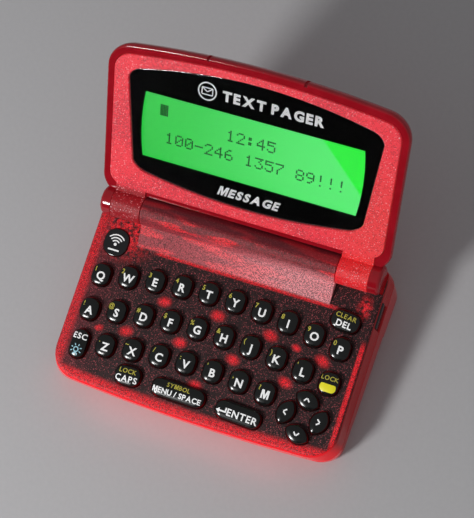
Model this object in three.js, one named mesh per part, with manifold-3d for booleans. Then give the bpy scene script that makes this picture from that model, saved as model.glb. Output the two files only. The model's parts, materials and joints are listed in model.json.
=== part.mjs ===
// Folding two-way pager: a thin keyboard base and a display lid on a barrel hinge.
// Millimetres, +Z up. The origin is the middle of the flat underside of the battery bay;
// X runs to the right, Y to the back. The lid is modelled open.
import * as THREE from "three";
import { mergeVertices } from "three/addons/utils/BufferGeometryUtils.js";
import Module from "manifold-3d";

const wasm = await Module();
wasm.setup();

// ---- Driving dimensions -------------------------------------------------------------------
const HALF_WIDTH = 40.5;
const BASE_FRONT = -46;
const BASE_REAR = 7.3;
const BASE_REAR_CORNER = 4.2;
const BASE_FRONT_BOW = 1.5;
const WALL = 1.6;
const GAP = 0.3;

const DECK_SLOPE = THREE.MathUtils.degToRad(8.95);
const DECK_FRONT_Z = 7.88;
const DECK_THICK = 1.6;
const SEAM_DEPTH = 4.6;
const FLOOR_THICK = 1.4;
const BULGE_STEP = 2.4;
const BULGE_FOOT_Y = -6.4;
const BULGE_START_Y = -8;
const FRONT_FOOT_Y = -42;

const HINGE_Y = 2.6;
const HINGE_Z = 18.25;
const BARREL_R = 4;
const BARREL_HALF = 27.5;
const KNUCKLE_IN = 27.8;
const KNUCKLE_OUT = 36.3;
const CAP_IN = 36.6;
const CAP_OUT = 39.5;
const PIN = { radius: 1.6, inner: 22.2, outer: 35.9 };
const RECESS_R = 4.35;
const RECESS_WALL = 1.1;
const RAMP_FOOT_V = 39.8;
const RAMP_TOP_H = 2.3;

const LID_ANGLE = THREE.MathUtils.degToRad(129.5);
const LID_TOP = 49.4;
const LID_BOTTOM = 2;
const LID_CORNER = 6.5;
const LID_TOP_BOW = 3.1;
const LID_RIM_H = 0.1;
const BEZEL_H = 0.5;
const BEZEL_THICK = 1.5;
const BEZEL_INSET = 2.3;
const LID_CUTOUT = 5.8;
const NOTCH_X = [-13.2, 12.6];
const NOTCH_HALF = 0.5;

const KEY_PITCH = 7.58;
const KEY_ARC_R = 159;
const KEY_TOP = 1.8;
const KEY_CLEAR = 0.3;

const CELL = { radius: 7, y: -0.7, z: 8.35, low: -24.6, high: 24.7, nub: 2.6, nubLong: 1 };
const CELL_CLEAR = 0.25;
const BAY_HALF = 27.1;

// How far a cutting body reaches past what it cuts, and a reach that is past everything.
const PAST = 1;
const FAR = 60;

// ---- Colours ------------------------------------------------------------------------------
const material = (color, roughness, metalness = 0) =>
  new THREE.MeshStandardMaterial({ color, roughness, metalness });
const RED_CASE = material(0xb3101f, 0.25);
const RED_DECK = material(0x5a141c, 0.55);
const PINK_BEZEL = material(0xe8505c, 0.6);
const KEY_BLACK = material(0x0c1413, 0.15);
const BLACK = material(0x101010, 0.3);
const STEEL = material(0xb8bcc0, 0.3, 1);
const COPPER = material(0xc98a55, 0.4, 1);
const BOARD_GREEN = material(0x1d5c37, 0.6);
const RUBBER = material(0x35383a, 0.9);
const LCD_GREEN = material(0x3fe06a, 0.4);
const LIGHT_GUIDE = material(0xd8f5dc, 0.3);
const CELL_WRAP = material(0x2e3f52, 0.35, 0.4);
const GOLD_FLEX = material(0xb5651d, 0.4, 0.3);

// ---- Solid helpers ------------------------------------------------------------------------
const solid = (geometry) => {
  const plain = new THREE.BufferGeometry();
  plain.setAttribute("position", geometry.getAttribute("position"));
  if (geometry.index) plain.setIndex(geometry.index);
  const merged = mergeVertices(plain, 1e-4);
  return new wasm.Manifold(
    new wasm.Mesh({
      numProp: 3,
      vertProperties: new Float32Array(merged.attributes.position.array),
      triVerts: new Uint32Array(merged.index.array),
    }),
  );
};

const geometryOf = (body) => {
  const mesh = body.getMesh();
  const geometry = new THREE.BufferGeometry();
  geometry.setAttribute("position", new THREE.BufferAttribute(mesh.vertProperties, 3));
  geometry.setIndex(new THREE.BufferAttribute(mesh.triVerts, 1));
  geometry.computeVertexNormals();
  return geometry;
};

const addAll = (first, ...rest) => rest.reduce((sum, body) => sum.add(body), first);
const cutAll = (first, ...rest) => rest.reduce((sum, body) => sum.subtract(body), first);

// A box between two corners.
const boxBetween = (low, high) => {
  const size = high.map((value, i) => value - low[i]);
  const geometry = new THREE.BoxGeometry(...size);
  geometry.translate(...low.map((value, i) => value + size[i] / 2));
  return solid(geometry);
};

// A cylinder along X, with its axis through (y, z).
const cylinderX = (radius, x0, x1, y, z, sides = 32) => {
  const geometry = new THREE.CylinderGeometry(radius, radius, x1 - x0, sides);
  geometry.rotateZ(-Math.PI / 2);
  geometry.translate((x0 + x1) / 2, y, z);
  return solid(geometry);
};

const cylinderZ = (radius, x, y, z0, z1, sides = 20) => {
  const geometry = new THREE.CylinderGeometry(radius, radius, z1 - z0, sides);
  geometry.rotateX(Math.PI / 2);
  geometry.translate(x, y, (z0 + z1) / 2);
  return solid(geometry);
};

const extrude = (points, depth) =>
  new THREE.ExtrudeGeometry(new THREE.Shape(points), { depth, bevelEnabled: false });

// An XY outline raised from z0 to z1.
const plate = (points, z0, z1) => {
  const geometry = extrude(points, z1 - z0);
  geometry.translate(0, 0, z0);
  return solid(geometry);
};

// A YZ profile drawn out along X from x0 to x1.
const profileX = (pairs, x0, x1) => {
  const geometry = extrude(pairs.map(([y, z]) => new THREE.Vector2(y, z)), x1 - x0);
  geometry.translate(0, 0, x0);
  const basis = new THREE.Matrix4().makeBasis(
    new THREE.Vector3(0, 1, 0),
    new THREE.Vector3(0, 0, 1),
    new THREE.Vector3(1, 0, 0),
  );
  geometry.applyMatrix4(basis);
  return solid(geometry);
};

// A rounded rectangle, counter-clockwise, whose front and back edges may bow.
const roundedOutline = (shape) => {
  const { half, low, high, radius, highRadius = radius, arcSteps = 4, edgeSteps = 1 } = shape;
  const { lowBow = 0, highBow = 0 } = shape;
  const points = [];
  const corners = [
    [half - radius, low + radius, radius, -Math.PI / 2],
    [half - highRadius, high - highRadius, highRadius, 0],
    [-half + highRadius, high - highRadius, highRadius, Math.PI / 2],
    [-half + radius, low + radius, radius, Math.PI],
  ];
  corners.forEach(([x, y, turn, start], corner) => {
    for (let i = 0; i <= arcSteps; i++) {
      const angle = start + (i / arcSteps) * (Math.PI / 2);
      points.push(new THREE.Vector2(x + turn * Math.cos(angle), y + turn * Math.sin(angle)));
    }
    const alongX = corner === 1 || corner === 3;
    if (!alongX) return;
    const edgeY = corner === 1 ? high : low;
    const from = corner === 1 ? half - highRadius : -half + radius;
    for (let i = 1; i < edgeSteps; i++) {
      points.push(new THREE.Vector2(from * (1 - (2 * i) / edgeSteps), edgeY));
    }
  });
  const bend = (p) => {
    const across = (p.x / half) ** 2;
    const share = (p.y - low) / (high - low);
    const shift = lowBow * across * (1 - share) - highBow * across * share;
    return new THREE.Vector2(p.x, p.y + shift);
  };
  return points.map(bend);
};

// What is made once for the left side (-1) and once for the right (1), and a stretch of X there.
const onBothSides = (make) => [-1, 1].map((side) => make(side));
const span = (side, inner, outer) => [inner * side, outer * side].sort((a, b) => a - b);

// A closed skin through equal-length flat loops, each given as [outline, height]. A sloping loop's
// height is a function of Y.
const loft = (rings) => {
  const count = rings[0][0].length;
  const positions = [];
  rings.forEach(([outline, height]) => {
    const heightAt = typeof height === "function" ? height : () => height;
    outline.forEach((p) => positions.push(p.x, p.y, heightAt(p.y)));
  });
  const index = [];
  for (let r = 0; r + 1 < rings.length; r++) {
    for (let i = 0; i < count; i++) {
      const a = r * count + i;
      const b = r * count + ((i + 1) % count);
      index.push(a, b, b + count, a, b + count, a + count);
    }
  }
  const cap = (ring, flip) => {
    const faces = THREE.ShapeUtils.triangulateShape(rings[ring][0], []);
    faces.forEach(([a, b, c]) => {
      const [i, j, k] = [a, b, c].map((n) => n + ring * count);
      index.push(...(flip ? [i, k, j] : [i, j, k]));
    });
  };
  cap(0, true);
  cap(rings.length - 1, false);
  const geometry = new THREE.BufferGeometry();
  geometry.setAttribute("position", new THREE.BufferAttribute(new Float32Array(positions), 3));
  geometry.setIndex(index);
  return solid(geometry);
};

const pager = new THREE.Group();
const deckGroup = new THREE.Group();
deckGroup.position.set(0, BASE_FRONT, DECK_FRONT_Z);
deckGroup.rotation.x = DECK_SLOPE;
pager.add(deckGroup);

// The lid's own frame: origin on the hinge axis, Y up the lid, Z out of its display side.
const lidGroup = new THREE.Group();
lidGroup.position.set(0, HINGE_Y, HINGE_Z);
lidGroup.rotation.x = Math.PI - LID_ANGLE;
pager.add(lidGroup);

const addPart = (group, name, body, look) => {
  const mesh = new THREE.Mesh(geometryOf(body), look);
  mesh.name = name;
  group.add(mesh);
  return mesh;
};

// ---- Deck geometry ------------------------------------------------------------------------
// The height of the deck's surface, or of a plane parallel to it, above the origin's plane.
const deckZ = (y, offset = 0) =>
  DECK_FRONT_Z + (y - BASE_FRONT) * Math.tan(DECK_SLOPE) + offset / Math.cos(DECK_SLOPE);

// A solid drawn in the deck's frame, moved into the pager's frame.
const fromDeck = (body) => {
  const degrees = THREE.MathUtils.radToDeg(DECK_SLOPE);
  return body.rotate([degrees, 0, 0]).translate([0, BASE_FRONT, DECK_FRONT_Z]);
};

const hingeV =
  (HINGE_Y - BASE_FRONT) * Math.cos(DECK_SLOPE) + (HINGE_Z - DECK_FRONT_Z) * Math.sin(DECK_SLOPE);
const hingeH =
  (HINGE_Z - DECK_FRONT_Z) * Math.cos(DECK_SLOPE) - (HINGE_Y - BASE_FRONT) * Math.sin(DECK_SLOPE);

// ---- Key layout ---------------------------------------------------------------------------
const LETTER = { width: 5.1, height: 5.8, radius: 2.1 };
const rowV = { 1: 33.5, 2: 23.8, 3: 14.3 };
const KEYPAD_MIDDLE = -0.15;
const columnU = (column) => (column - 4.5) * KEY_PITCH + KEYPAD_MIDDLE;
const arcV = (row, u) => rowV[row] - (u * u) / (2 * KEY_ARC_R);
const letterRow = (row, letters, firstColumn) =>
  [...letters].map((letter, i) => {
    const u = columnU(i + firstColumn);
    return { name: `key_${letter}`, u, v: arcV(row, u), turn: 0, ...LETTER };
  });

const shiftU = columnU(9);
const keys = [
  ...letterRow(1, "QWERTYUIOP", 0),
  ...letterRow(2, "ASDFGHJKL", 0),
  ...letterRow(3, "ZXCVBNM", 1),
  { name: "key_shift_lock", u: shiftU, v: arcV(2, shiftU) + 0.4, turn: 0, ...LETTER },
  { name: "key_esc", u: -33.9, v: 10.45, turn: 0, width: 4.5, height: 7.7, radius: 2.2 },
  { name: "key_caps", u: -18, v: 6.35, turn: 2, width: 7, height: 5, radius: 2.1 },
  { name: "key_menu_space", u: -3.4, v: 6.25, turn: 0, width: 14.8, height: 4.6, radius: 2 },
  { name: "key_enter", u: 13.7, v: 5.85, turn: -2, width: 12.4, height: 4.6, radius: 2 },
  { name: "key_delete", u: 33, v: 37.1, turn: -5, width: 7.5, height: 5, radius: 2.1 },
];

// The four arrow keys are leaf shapes, one quarter turn apart, round a common centre.
const ARROW_HUB = { u: 30, v: 10.3 };
const ARROW_REACH = 4.55;
const LEAF_LONG = 6.6;
const LEAF_WIDE = 4.4;
const LEAF_STEPS = 7;
const leafOutline = (grow) => {
  const half = LEAF_LONG / 2 + grow;
  const bulge = LEAF_WIDE / 2 + grow;
  const side = (sign) =>
    Array.from({ length: LEAF_STEPS }, (_, i) => {
      const t = 1 - (2 * i) / LEAF_STEPS;
      return new THREE.Vector2(sign * t * half, sign * bulge * (1 - t * t) ** 0.75);
    });
  return [...side(1), ...side(-1)];
};
["right", "up", "left", "down"].forEach((direction, i) => {
  const angle = (i * Math.PI) / 2;
  keys.push({
    name: `key_arrow_${direction}`,
    u: ARROW_HUB.u + ARROW_REACH * Math.cos(angle),
    v: ARROW_HUB.v + ARROW_REACH * Math.sin(angle),
    turn: 72 + i * 90,
    leaf: true,
  });
});

// A key's outline in the deck's frame, grown by the given amount.
const keyOutline = (key, grow) => {
  const local = key.leaf
    ? leafOutline(grow)
    : roundedOutline({
        half: key.width / 2 + grow,
        low: -key.height / 2 - grow,
        high: key.height / 2 + grow,
        radius: key.radius + grow,
        arcSteps: 2,
      });
  const turn = THREE.MathUtils.degToRad(key.turn);
  const pivot = new THREE.Vector2();
  return local.map((p) => p.clone().rotateAround(pivot, turn).add(new THREE.Vector2(key.u, key.v)));
};

// A cap with a flange under the deck that keeps it captive.
const FLANGE_TOP = -1.95;
const FLANGE_BOTTOM = -2.5;
const FLANGE_GROW = 0.5;
const FLANGE_STEP = 0.02;
const CROWN_DROP = 0.5;
const CROWN_INSET = 0.7;
const keyCap = (key) =>
  loft([
    [keyOutline(key, FLANGE_GROW), FLANGE_BOTTOM],
    [keyOutline(key, FLANGE_GROW), FLANGE_TOP],
    [keyOutline(key, 0), FLANGE_TOP + FLANGE_STEP],
    [keyOutline(key, 0), KEY_TOP - CROWN_DROP],
    [keyOutline(key, -CROWN_INSET), KEY_TOP],
  ]);
keys.forEach((key) => addPart(deckGroup, key.name, keyCap(key), KEY_BLACK));

// ---- Base casing --------------------------------------------------------------------------
const baseOutline = (half, low, high, radius, highRadius) =>
  roundedOutline({ half, low, high, radius, highRadius, arcSteps: 5, edgeSteps: 8, lowBow: BASE_FRONT_BOW });
const atDepth = (depth) => (y) => deckZ(y, -depth);

// The sides lean out from the deck's edge to the seam and stand upright below it, and the outside
// is rounded off above and below: [half width, front, rear, front corner, height].
const SIDE_HALF = 41.35;
const TOP_ROUND = 0.6;
const DECK_EDGE_DEPTH = 1;
const baseRings = [
  [40.6, -44.6, BASE_REAR, 5.2, 0],
  [SIDE_HALF, -45.3, BASE_REAR, 5.6, 1.2],
  [SIDE_HALF, -45.75, BASE_REAR, 6, atDepth(SEAM_DEPTH)],
  [HALF_WIDTH, BASE_FRONT, BASE_REAR, 7, atDepth(DECK_EDGE_DEPTH)],
  [HALF_WIDTH - TOP_ROUND, BASE_FRONT + TOP_ROUND, BASE_REAR - TOP_ROUND, 7.4, atDepth(0)],
];
const belowPlane = (offset) =>
  profileX(
    [
      [-FAR, -FAR],
      [FAR, -FAR],
      [FAR, deckZ(FAR, offset)],
      [-FAR, deckZ(-FAR, offset)],
    ],
    -FAR,
    FAR,
  );
const STEP_SHIFT = 0.4;
const aboveUnderside = (lift) =>
  profileX(
    [
      [-FAR, lift],
      [FRONT_FOOT_Y, lift],
      [BULGE_START_Y + STEP_SHIFT * lift, BULGE_STEP + lift],
      [BULGE_FOOT_Y + STEP_SHIFT * lift, lift],
      [FAR, lift],
      [FAR, FAR],
      [-FAR, FAR],
    ],
    -FAR,
    FAR,
  );

// The barrel and the ramp that leads from the deck up to it.
const hump = () => {
  const ramp = profileX(
    [
      [RAMP_FOOT_V, -DECK_THICK],
      [hingeV, -DECK_THICK],
      [hingeV, RAMP_TOP_H],
      [hingeV - Math.sqrt(BARREL_R ** 2 - (hingeH - RAMP_TOP_H) ** 2), RAMP_TOP_H],
      [RAMP_FOOT_V, 0],
    ],
    -BARREL_HALF,
    BARREL_HALF,
  );
  return fromDeck(ramp).add(cylinderX(BARREL_R, -BARREL_HALF, BARREL_HALF, HINGE_Y, HINGE_Z, 40));
};

// The solid block that walls in the battery, between the two halves of the casing.
const BAY_FRONT_Y = -8.55;
const BAY_BLOCK_HALF = 28.6;
const bayBlock = boxBetween([-BAY_BLOCK_HALF, BAY_FRONT_Y, -FAR], [BAY_BLOCK_HALF, FAR, FAR]);
const cellRoom = cylinderX(CELL.radius + CELL_CLEAR, -BAY_HALF, BAY_HALF, CELL.y, CELL.z);

const baseBody = loft(
  baseRings.map(([half, front, rear, corner, height]) => [
    baseOutline(half, front, rear, corner, BASE_REAR_CORNER),
    height,
  ]),
).intersect(aboveUnderside(0));
const ROOM_CORNER = 4.5;
const roomOutline = baseOutline(HALF_WIDTH - WALL, BASE_FRONT + WALL, BASE_REAR - WALL, ROOM_CORNER);
const electronicsRoom = plate(roomOutline, -FAR, FAR)
  .intersect(belowPlane(-DECK_THICK))
  .intersect(aboveUnderside(FLOOR_THICK))
  .subtract(bayBlock);

// The lid's knuckles turn in round troughs at each side of the barrel.
const TROUGH_IN = KNUCKLE_IN - 0.2;
const TROUGH_OUT = CAP_OUT + 0.4;
const hingeBar = (radius, x0, x1, sides) => cylinderX(radius, x0, x1, HINGE_Y, HINGE_Z, sides);
const troughs = onBothSides((side) => ({
  wall: hingeBar(RECESS_R + RECESS_WALL, ...span(side, TROUGH_IN, TROUGH_OUT)).intersect(belowPlane(0)),
  room: hingeBar(RECESS_R, ...span(side, TROUGH_IN, TROUGH_OUT), 40),
}));
const pinBores = onBothSides((side) =>
  hingeBar(PIN.radius + GAP, ...span(side, PIN.inner - GAP, BARREL_HALF + PAST), 16),
);

const BADGE = { u: -33.4, v: 39.3, width: 7, height: 7.6, radius: 3.2, bottom: -1.3, top: 0.6 };
const badgeOutline = (grow) => keyOutline({ ...BADGE, turn: 0 }, grow);
const PORT = { low: -8.6, high: -1.9, top: -0.6, bottom: -4.2, depth: 1.7 };
const portProfile = (grow) =>
  [
    [PORT.low - grow, PORT.bottom - grow],
    [PORT.high + grow, PORT.bottom - grow],
    [PORT.high + grow, PORT.top + grow],
    [PORT.low - grow, PORT.top + grow],
  ].map(([y, offset]) => [y, deckZ(y, offset)]);

// One screw passes up through the lower case into a boss under the deck.
const SCREW = { x: 32.4, y: 1.2, shank: 1, head: 1.9, headLow: 0.3, headTop: 1.7, shankLow: 0.8, top: 11.2 };
const SCREW_SLOT = { long: 1.4, wide: 0.25 };
const POST_HALF = 2.6;
const POST_SPLIT = 7;
const POST_TOP = 13.3;
const screwPost = (z0, z1) =>
  boxBetween(
    [SCREW.x - POST_HALF, SCREW.y - POST_HALF, z0],
    [SCREW.x + POST_HALF, SCREW.y + POST_HALF, z1],
  );
const screwRoom = addAll(
  cylinderZ(SCREW.shank + GAP, SCREW.x, SCREW.y, -PAST, SCREW.top + GAP),
  cylinderZ(SCREW.head + GAP, SCREW.x, SCREW.y, -PAST, SCREW.headTop + GAP),
);

// A hole of the given outline, right through the deck.
const deckHole = (outline) => fromDeck(plate(outline, -DECK_THICK - PAST, PAST));

const upperShell = addAll(
  baseBody.subtract(electronicsRoom),
  hump(),
  ...troughs.map((trough) => trough.wall.intersect(baseBody)),
);
const upperCase = cutAll(
  upperShell.subtract(belowPlane(-SEAM_DEPTH)).add(screwPost(POST_SPLIT + GAP, POST_TOP)),
  ...troughs.map((trough) => trough.room),
  ...pinBores,
  cellRoom,
  screwRoom,
  ...keys.map((key) => deckHole(keyOutline(key, KEY_CLEAR))),
  deckHole(badgeOutline(GAP)),
  profileX(portProfile(GAP), HALF_WIDTH - PORT.depth - GAP, HALF_WIDTH + PAST),
);
addPart(pager, "upper_case", upperCase, RED_DECK);

// The door is an L: the bay's floor and the foot of its rear wall. It slides out to the back.
const DOOR = { half: 26.2, front: -5, top: 1.1, lip: 6, lipThick: 0.75 };
const BAY_OPENING = { rear: 4.6, low: 0.5, high: 5.35 };
const doorRoom = (grow) =>
  addAll(
    boxBetween([-DOOR.half - grow, DOOR.front - grow, -PAST], [DOOR.half + grow, FAR, DOOR.top + grow]),
    boxBetween(
      [-DOOR.half - grow, BASE_REAR - DOOR.lipThick - grow, -PAST],
      [DOOR.half + grow, FAR, DOOR.lip + grow],
    ),
  );
const lowerCase = cutAll(
  baseBody
    .subtract(electronicsRoom)
    .intersect(belowPlane(-SEAM_DEPTH - GAP))
    .add(screwPost(0, POST_SPLIT)),
  cellRoom,
  boxBetween(
    [-BAY_HALF, DOOR.front, BAY_OPENING.low],
    [BAY_HALF, BAY_OPENING.rear, BAY_OPENING.high],
  ),
  screwRoom,
  doorRoom(GAP),
);
addPart(pager, "lower_case", lowerCase, RED_CASE);

const doorBody = baseBody.intersect(doorRoom(0)).subtract(cellRoom);
addPart(pager, "battery_door", doorBody, RED_CASE);

addPart(deckGroup, "emblem_badge", plate(badgeOutline(0), BADGE.bottom, BADGE.top), BLACK);
const portBar = profileX(portProfile(0), HALF_WIDTH - PORT.depth, HALF_WIDTH + PAST);
const portBody = portBar.intersect(baseBody);
addPart(pager, "side_port_insert", portBody, BLACK);

const screwSlot = boxBetween(
  [SCREW.x - SCREW_SLOT.long, SCREW.y - SCREW_SLOT.wide, SCREW.headLow - PAST],
  [SCREW.x + SCREW_SLOT.long, SCREW.y + SCREW_SLOT.wide, SCREW.shankLow],
);
const screwBody = addAll(
  cylinderZ(SCREW.shank, SCREW.x, SCREW.y, SCREW.shankLow, SCREW.top, 12),
  cylinderZ(SCREW.head, SCREW.x, SCREW.y, SCREW.headLow, SCREW.headTop, 16),
).subtract(screwSlot);
addPart(pager, "case_screw", screwBody, STEEL);

// ---- Battery and its contacts -------------------------------------------------------------
const cell = addAll(
  cylinderX(CELL.radius, CELL.low, CELL.high, CELL.y, CELL.z, 28),
  cylinderX(CELL.nub, CELL.high - PAST, CELL.high + CELL.nubLong, CELL.y, CELL.z, 16),
);
addPart(pager, "aa_battery", cell, CELL_WRAP);

const circlePoint = (radius, share) =>
  new THREE.Vector2(radius, 0).rotateAround(new THREE.Vector2(), share * 2 * Math.PI);

// A coil that narrows towards the cell.
const SPRING = { turns: 2.5, steps: 30, wide: 3.6, narrow: 2, start: -26.6, end: -25.1 };
const WIRE = { radius: 0.25, sides: 5 };
const coilSpring = () => {
  const points = Array.from({ length: SPRING.steps + 1 }, (_, i) => {
    const share = i / SPRING.steps;
    const radius = THREE.MathUtils.lerp(SPRING.wide, SPRING.narrow, share);
    const across = circlePoint(radius, share * SPRING.turns);
    const x = THREE.MathUtils.lerp(SPRING.start, SPRING.end, share);
    return new THREE.Vector3(x, CELL.y + across.x, CELL.z + across.y);
  });
  const wire = Array.from({ length: WIRE.sides }, (_, i) => circlePoint(WIRE.radius, i / WIRE.sides));
  const extrudePath = new THREE.CatmullRomCurve3(points);
  return solid(new THREE.ExtrudeGeometry(new THREE.Shape(wire), { steps: SPRING.steps, extrudePath }));
};
addPart(pager, "battery_spring", coilSpring(), STEEL);

const CONTACT = { x0: 26.1, x1: 26.6, half: 3.5 };
const contactBody = boxBetween(
  [CONTACT.x0, CELL.y - CONTACT.half, CELL.z - CONTACT.half],
  [CONTACT.x1, CELL.y + CONTACT.half, CELL.z + CONTACT.half],
);
addPart(pager, "positive_contact", contactBody, COPPER);

// ---- Electronics under the deck -----------------------------------------------------------
const MAT_TOP = -3.4;
const BOSS = { radius: 1.1, top: -3.25, sunk: 0.2, sides: 6 };
const BOARD = { left: -33.6, right: 37.6, front: 4.2, rear: 35.2, top: -4.1, bottom: -5 };
const MAT_INSET = 0.4;
const boardOutline = (inset) =>
  [
    [BOARD.left + inset, BOARD.front + inset],
    [BOARD.right - inset, BOARD.front + inset],
    [BOARD.right - inset, BOARD.rear - inset],
    [BOARD.left + inset, BOARD.rear - inset],
  ].map(([x, y]) => new THREE.Vector2(x, y));
addPart(deckGroup, "main_board", plate(boardOutline(0), BOARD.bottom, BOARD.top), BOARD_GREEN);

// The mat has a small boss under each key that stands wholly over it.
const overMat = (key) =>
  key.v < BOARD.rear - BOSS.radius && key.u > BOARD.left + MAT_INSET + BOSS.radius;
const bosses = keys
  .filter(overMat)
  .map((key) => cylinderZ(BOSS.radius, key.u, key.v, MAT_TOP - BOSS.sunk, BOSS.top, BOSS.sides));
const keypadMat = addAll(plate(boardOutline(MAT_INSET), BOARD.top + GAP, MAT_TOP), ...bosses);
addPart(deckGroup, "keypad_mat", keypadMat, RUBBER);

const UNDER_BOARD = BOARD.bottom - GAP;
const SHIELD = { half: 12, front: 15, rear: 31, deep: 2, sheet: 0.4 };
const shieldCan = boxBetween(
  [-SHIELD.half, SHIELD.front, UNDER_BOARD - SHIELD.deep],
  [SHIELD.half, SHIELD.rear, UNDER_BOARD],
).subtract(
  boxBetween(
    [-SHIELD.half + SHIELD.sheet, SHIELD.front + SHIELD.sheet, UNDER_BOARD - SHIELD.deep + SHIELD.sheet],
    [SHIELD.half - SHIELD.sheet, SHIELD.rear - SHIELD.sheet, UNDER_BOARD + PAST],
  ),
);
addPart(deckGroup, "rf_shield", shieldCan, STEEL);

const SOUNDER = { u: 22, v: 26, radius: 6, deep: 2.2 };
const sounderLow = UNDER_BOARD - SOUNDER.deep;
const sounderBody = cylinderZ(SOUNDER.radius, SOUNDER.u, SOUNDER.v, sounderLow, UNDER_BOARD, 24);
addPart(deckGroup, "sounder", sounderBody, BLACK);

// A flat strip on edge beside the board, clear of the pressed keys' flanges.
const ANTENNA = { low: [-37.6, 7, -6.3], high: [-37, 35, -3.5] };
addPart(deckGroup, "antenna", boxBetween(ANTENNA.low, ANTENNA.high), COPPER);

// A can motor with an offset weight on its shaft.
const MOTOR = { y: -16, z: 5.4, radius: 1.85, x0: -33, x1: -23, shaft: 0.5, shaftEnd: -18.4 };
const motorBar = (radius, x0, x1, sides) => cylinderX(radius, x0, x1, MOTOR.y, MOTOR.z, sides);
const motorBody = addAll(
  motorBar(MOTOR.radius, MOTOR.x0, MOTOR.x1, 20),
  motorBar(MOTOR.shaft, MOTOR.x1 - PAST, MOTOR.shaftEnd, 12),
);
addPart(pager, "vibration_motor", motorBody, STEEL);

const WEIGHT = { x0: -22.4, x1: -18.8, radius: 1.8, bore: 0.6, cutAbove: 0.8 };
const weightBody = cutAll(
  motorBar(WEIGHT.radius, WEIGHT.x0, WEIGHT.x1, 20),
  motorBar(WEIGHT.bore, WEIGHT.x0 - PAST, WEIGHT.x1 + PAST, 12),
  boxBetween(
    [WEIGHT.x0 - PAST, MOTOR.y - WEIGHT.radius - PAST, MOTOR.z + WEIGHT.cutAbove],
    [WEIGHT.x1 + PAST, MOTOR.y + WEIGHT.radius + PAST, MOTOR.z + WEIGHT.radius + PAST],
  ),
);
addPart(pager, "vibration_weight", weightBody, STEEL);

// ---- Hinge pins ---------------------------------------------------------------------------
onBothSides((side) => {
  const name = side < 0 ? "hinge_pin_left" : "hinge_pin_right";
  addPart(pager, name, hingeBar(PIN.radius, ...span(side, PIN.inner, PIN.outer), 16), STEEL);
});

// ---- Lid ----------------------------------------------------------------------------------
const lidOutline = (inset, bottom = LID_BOTTOM + inset) =>
  roundedOutline({
    half: HALF_WIDTH - inset,
    low: bottom,
    high: LID_TOP - inset,
    radius: Math.max(LID_CORNER - inset, 2.2),
    arcSteps: 5,
    edgeSteps: 8,
    highBow: LID_TOP_BOW,
  });
const lidBar = (radius, x0, x1, sides = 32) => cylinderX(radius, x0, x1, 0, 0, sides);
const FLEX = { left: -26, right: -12, low: 4.1, high: 12, bottom: -1.65, top: -1.3 };
const FLEX_CLEAR = 0.6;
const NECK_TOP = 7.5;

// Rings of the domed back and of the room in it: [inset from the outline, height].
const backRings = [[16, -8.2], [8, -7.6], [3.2, -6], [0.9, -3.6], [0.2, -2], [0, -1], [0.5, LID_RIM_H]];
const ROOM_INSET = 2;
const roomRings = [[16, -7], [9, -6.4], [5, -5], [2.6, -3.2], [ROOM_INSET, -1.6], [ROOM_INSET, 1]];
const roomBottom = (inset) => LID_CUTOUT - GAP + inset - ROOM_INSET;

// Cut a hair short of the end caps, so that the faces of the two don't coincide.
const ROOM_END = CAP_IN - 0.01;
const backShell = () => {
  const dome = loft(backRings.map(([inset, height]) => [lidOutline(inset), height]));
  const room = loft(roomRings.map(([inset, height]) => [lidOutline(inset, roomBottom(inset)), height]));
  const barrelRoom = lidBar(BARREL_R + 1.5 * GAP, -KNUCKLE_IN - GAP, KNUCKLE_IN + GAP);
  const caps = onBothSides((side) => lidBar(BARREL_R, ...span(side, CAP_IN, CAP_OUT)));
  const knuckleRooms = onBothSides((side) => lidBar(BARREL_R + GAP, ...span(side, PIN.inner, ROOM_END)));
  const neckRooms = onBothSides((side) => {
    const [x0, x1] = span(side, KNUCKLE_IN - GAP, ROOM_END);
    return boxBetween([x0, -BARREL_R - PAST, BEZEL_H - BEZEL_THICK - GAP], [x1, NECK_TOP + GAP, PAST]);
  });
  const flexRoom = boxBetween(
    [FLEX.left - FLEX_CLEAR, -BARREL_R - PAST, FLEX.bottom - GAP],
    [FLEX.right + FLEX_CLEAR, FLEX.low + BARREL_R + PAST, FLEX.top + GAP],
  );
  const notches = NOTCH_X.map((x) =>
    boxBetween([x - NOTCH_HALF, LID_TOP - 1.2, -3.2], [x + NOTCH_HALF, LID_TOP + PAST, PAST]),
  );
  return cutAll(
    addAll(cutAll(dome, room, barrelRoom), ...caps),
    ...knuckleRooms,
    ...neckRooms,
    flexRoom,
    ...notches,
  );
};
addPart(lidGroup, "lid_back_shell", backShell(), RED_CASE);

// The lens outline bulges on every side.
const LENS = { bottom: 9.1, top: 45.1, half: 34.4, corner: 3, cornerRise: 3.3, cornerDrop: 4.5 };
const LENS_BACK = -0.8;
const LENS_WIDEST = 28;
const NARROW_BELOW = 0.000395;
const NARROW_ABOVE = 0.00006;
const lensOutline = (grow) => {
  const flat = roundedOutline({
    half: LENS.half + grow,
    low: LENS.bottom - grow,
    high: LENS.top + grow,
    radius: LENS.corner + grow,
    arcSteps: 4,
    edgeSteps: 8,
    lowBow: LENS.cornerRise,
    highBow: LENS.cornerDrop,
  });
  const narrow = (y) => (y < LENS_WIDEST ? NARROW_BELOW : NARROW_ABOVE) * (y - LENS_WIDEST) ** 2;
  return flat.map((p) => new THREE.Vector2(p.x * (1 - narrow(p.y)), p.y));
};

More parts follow.
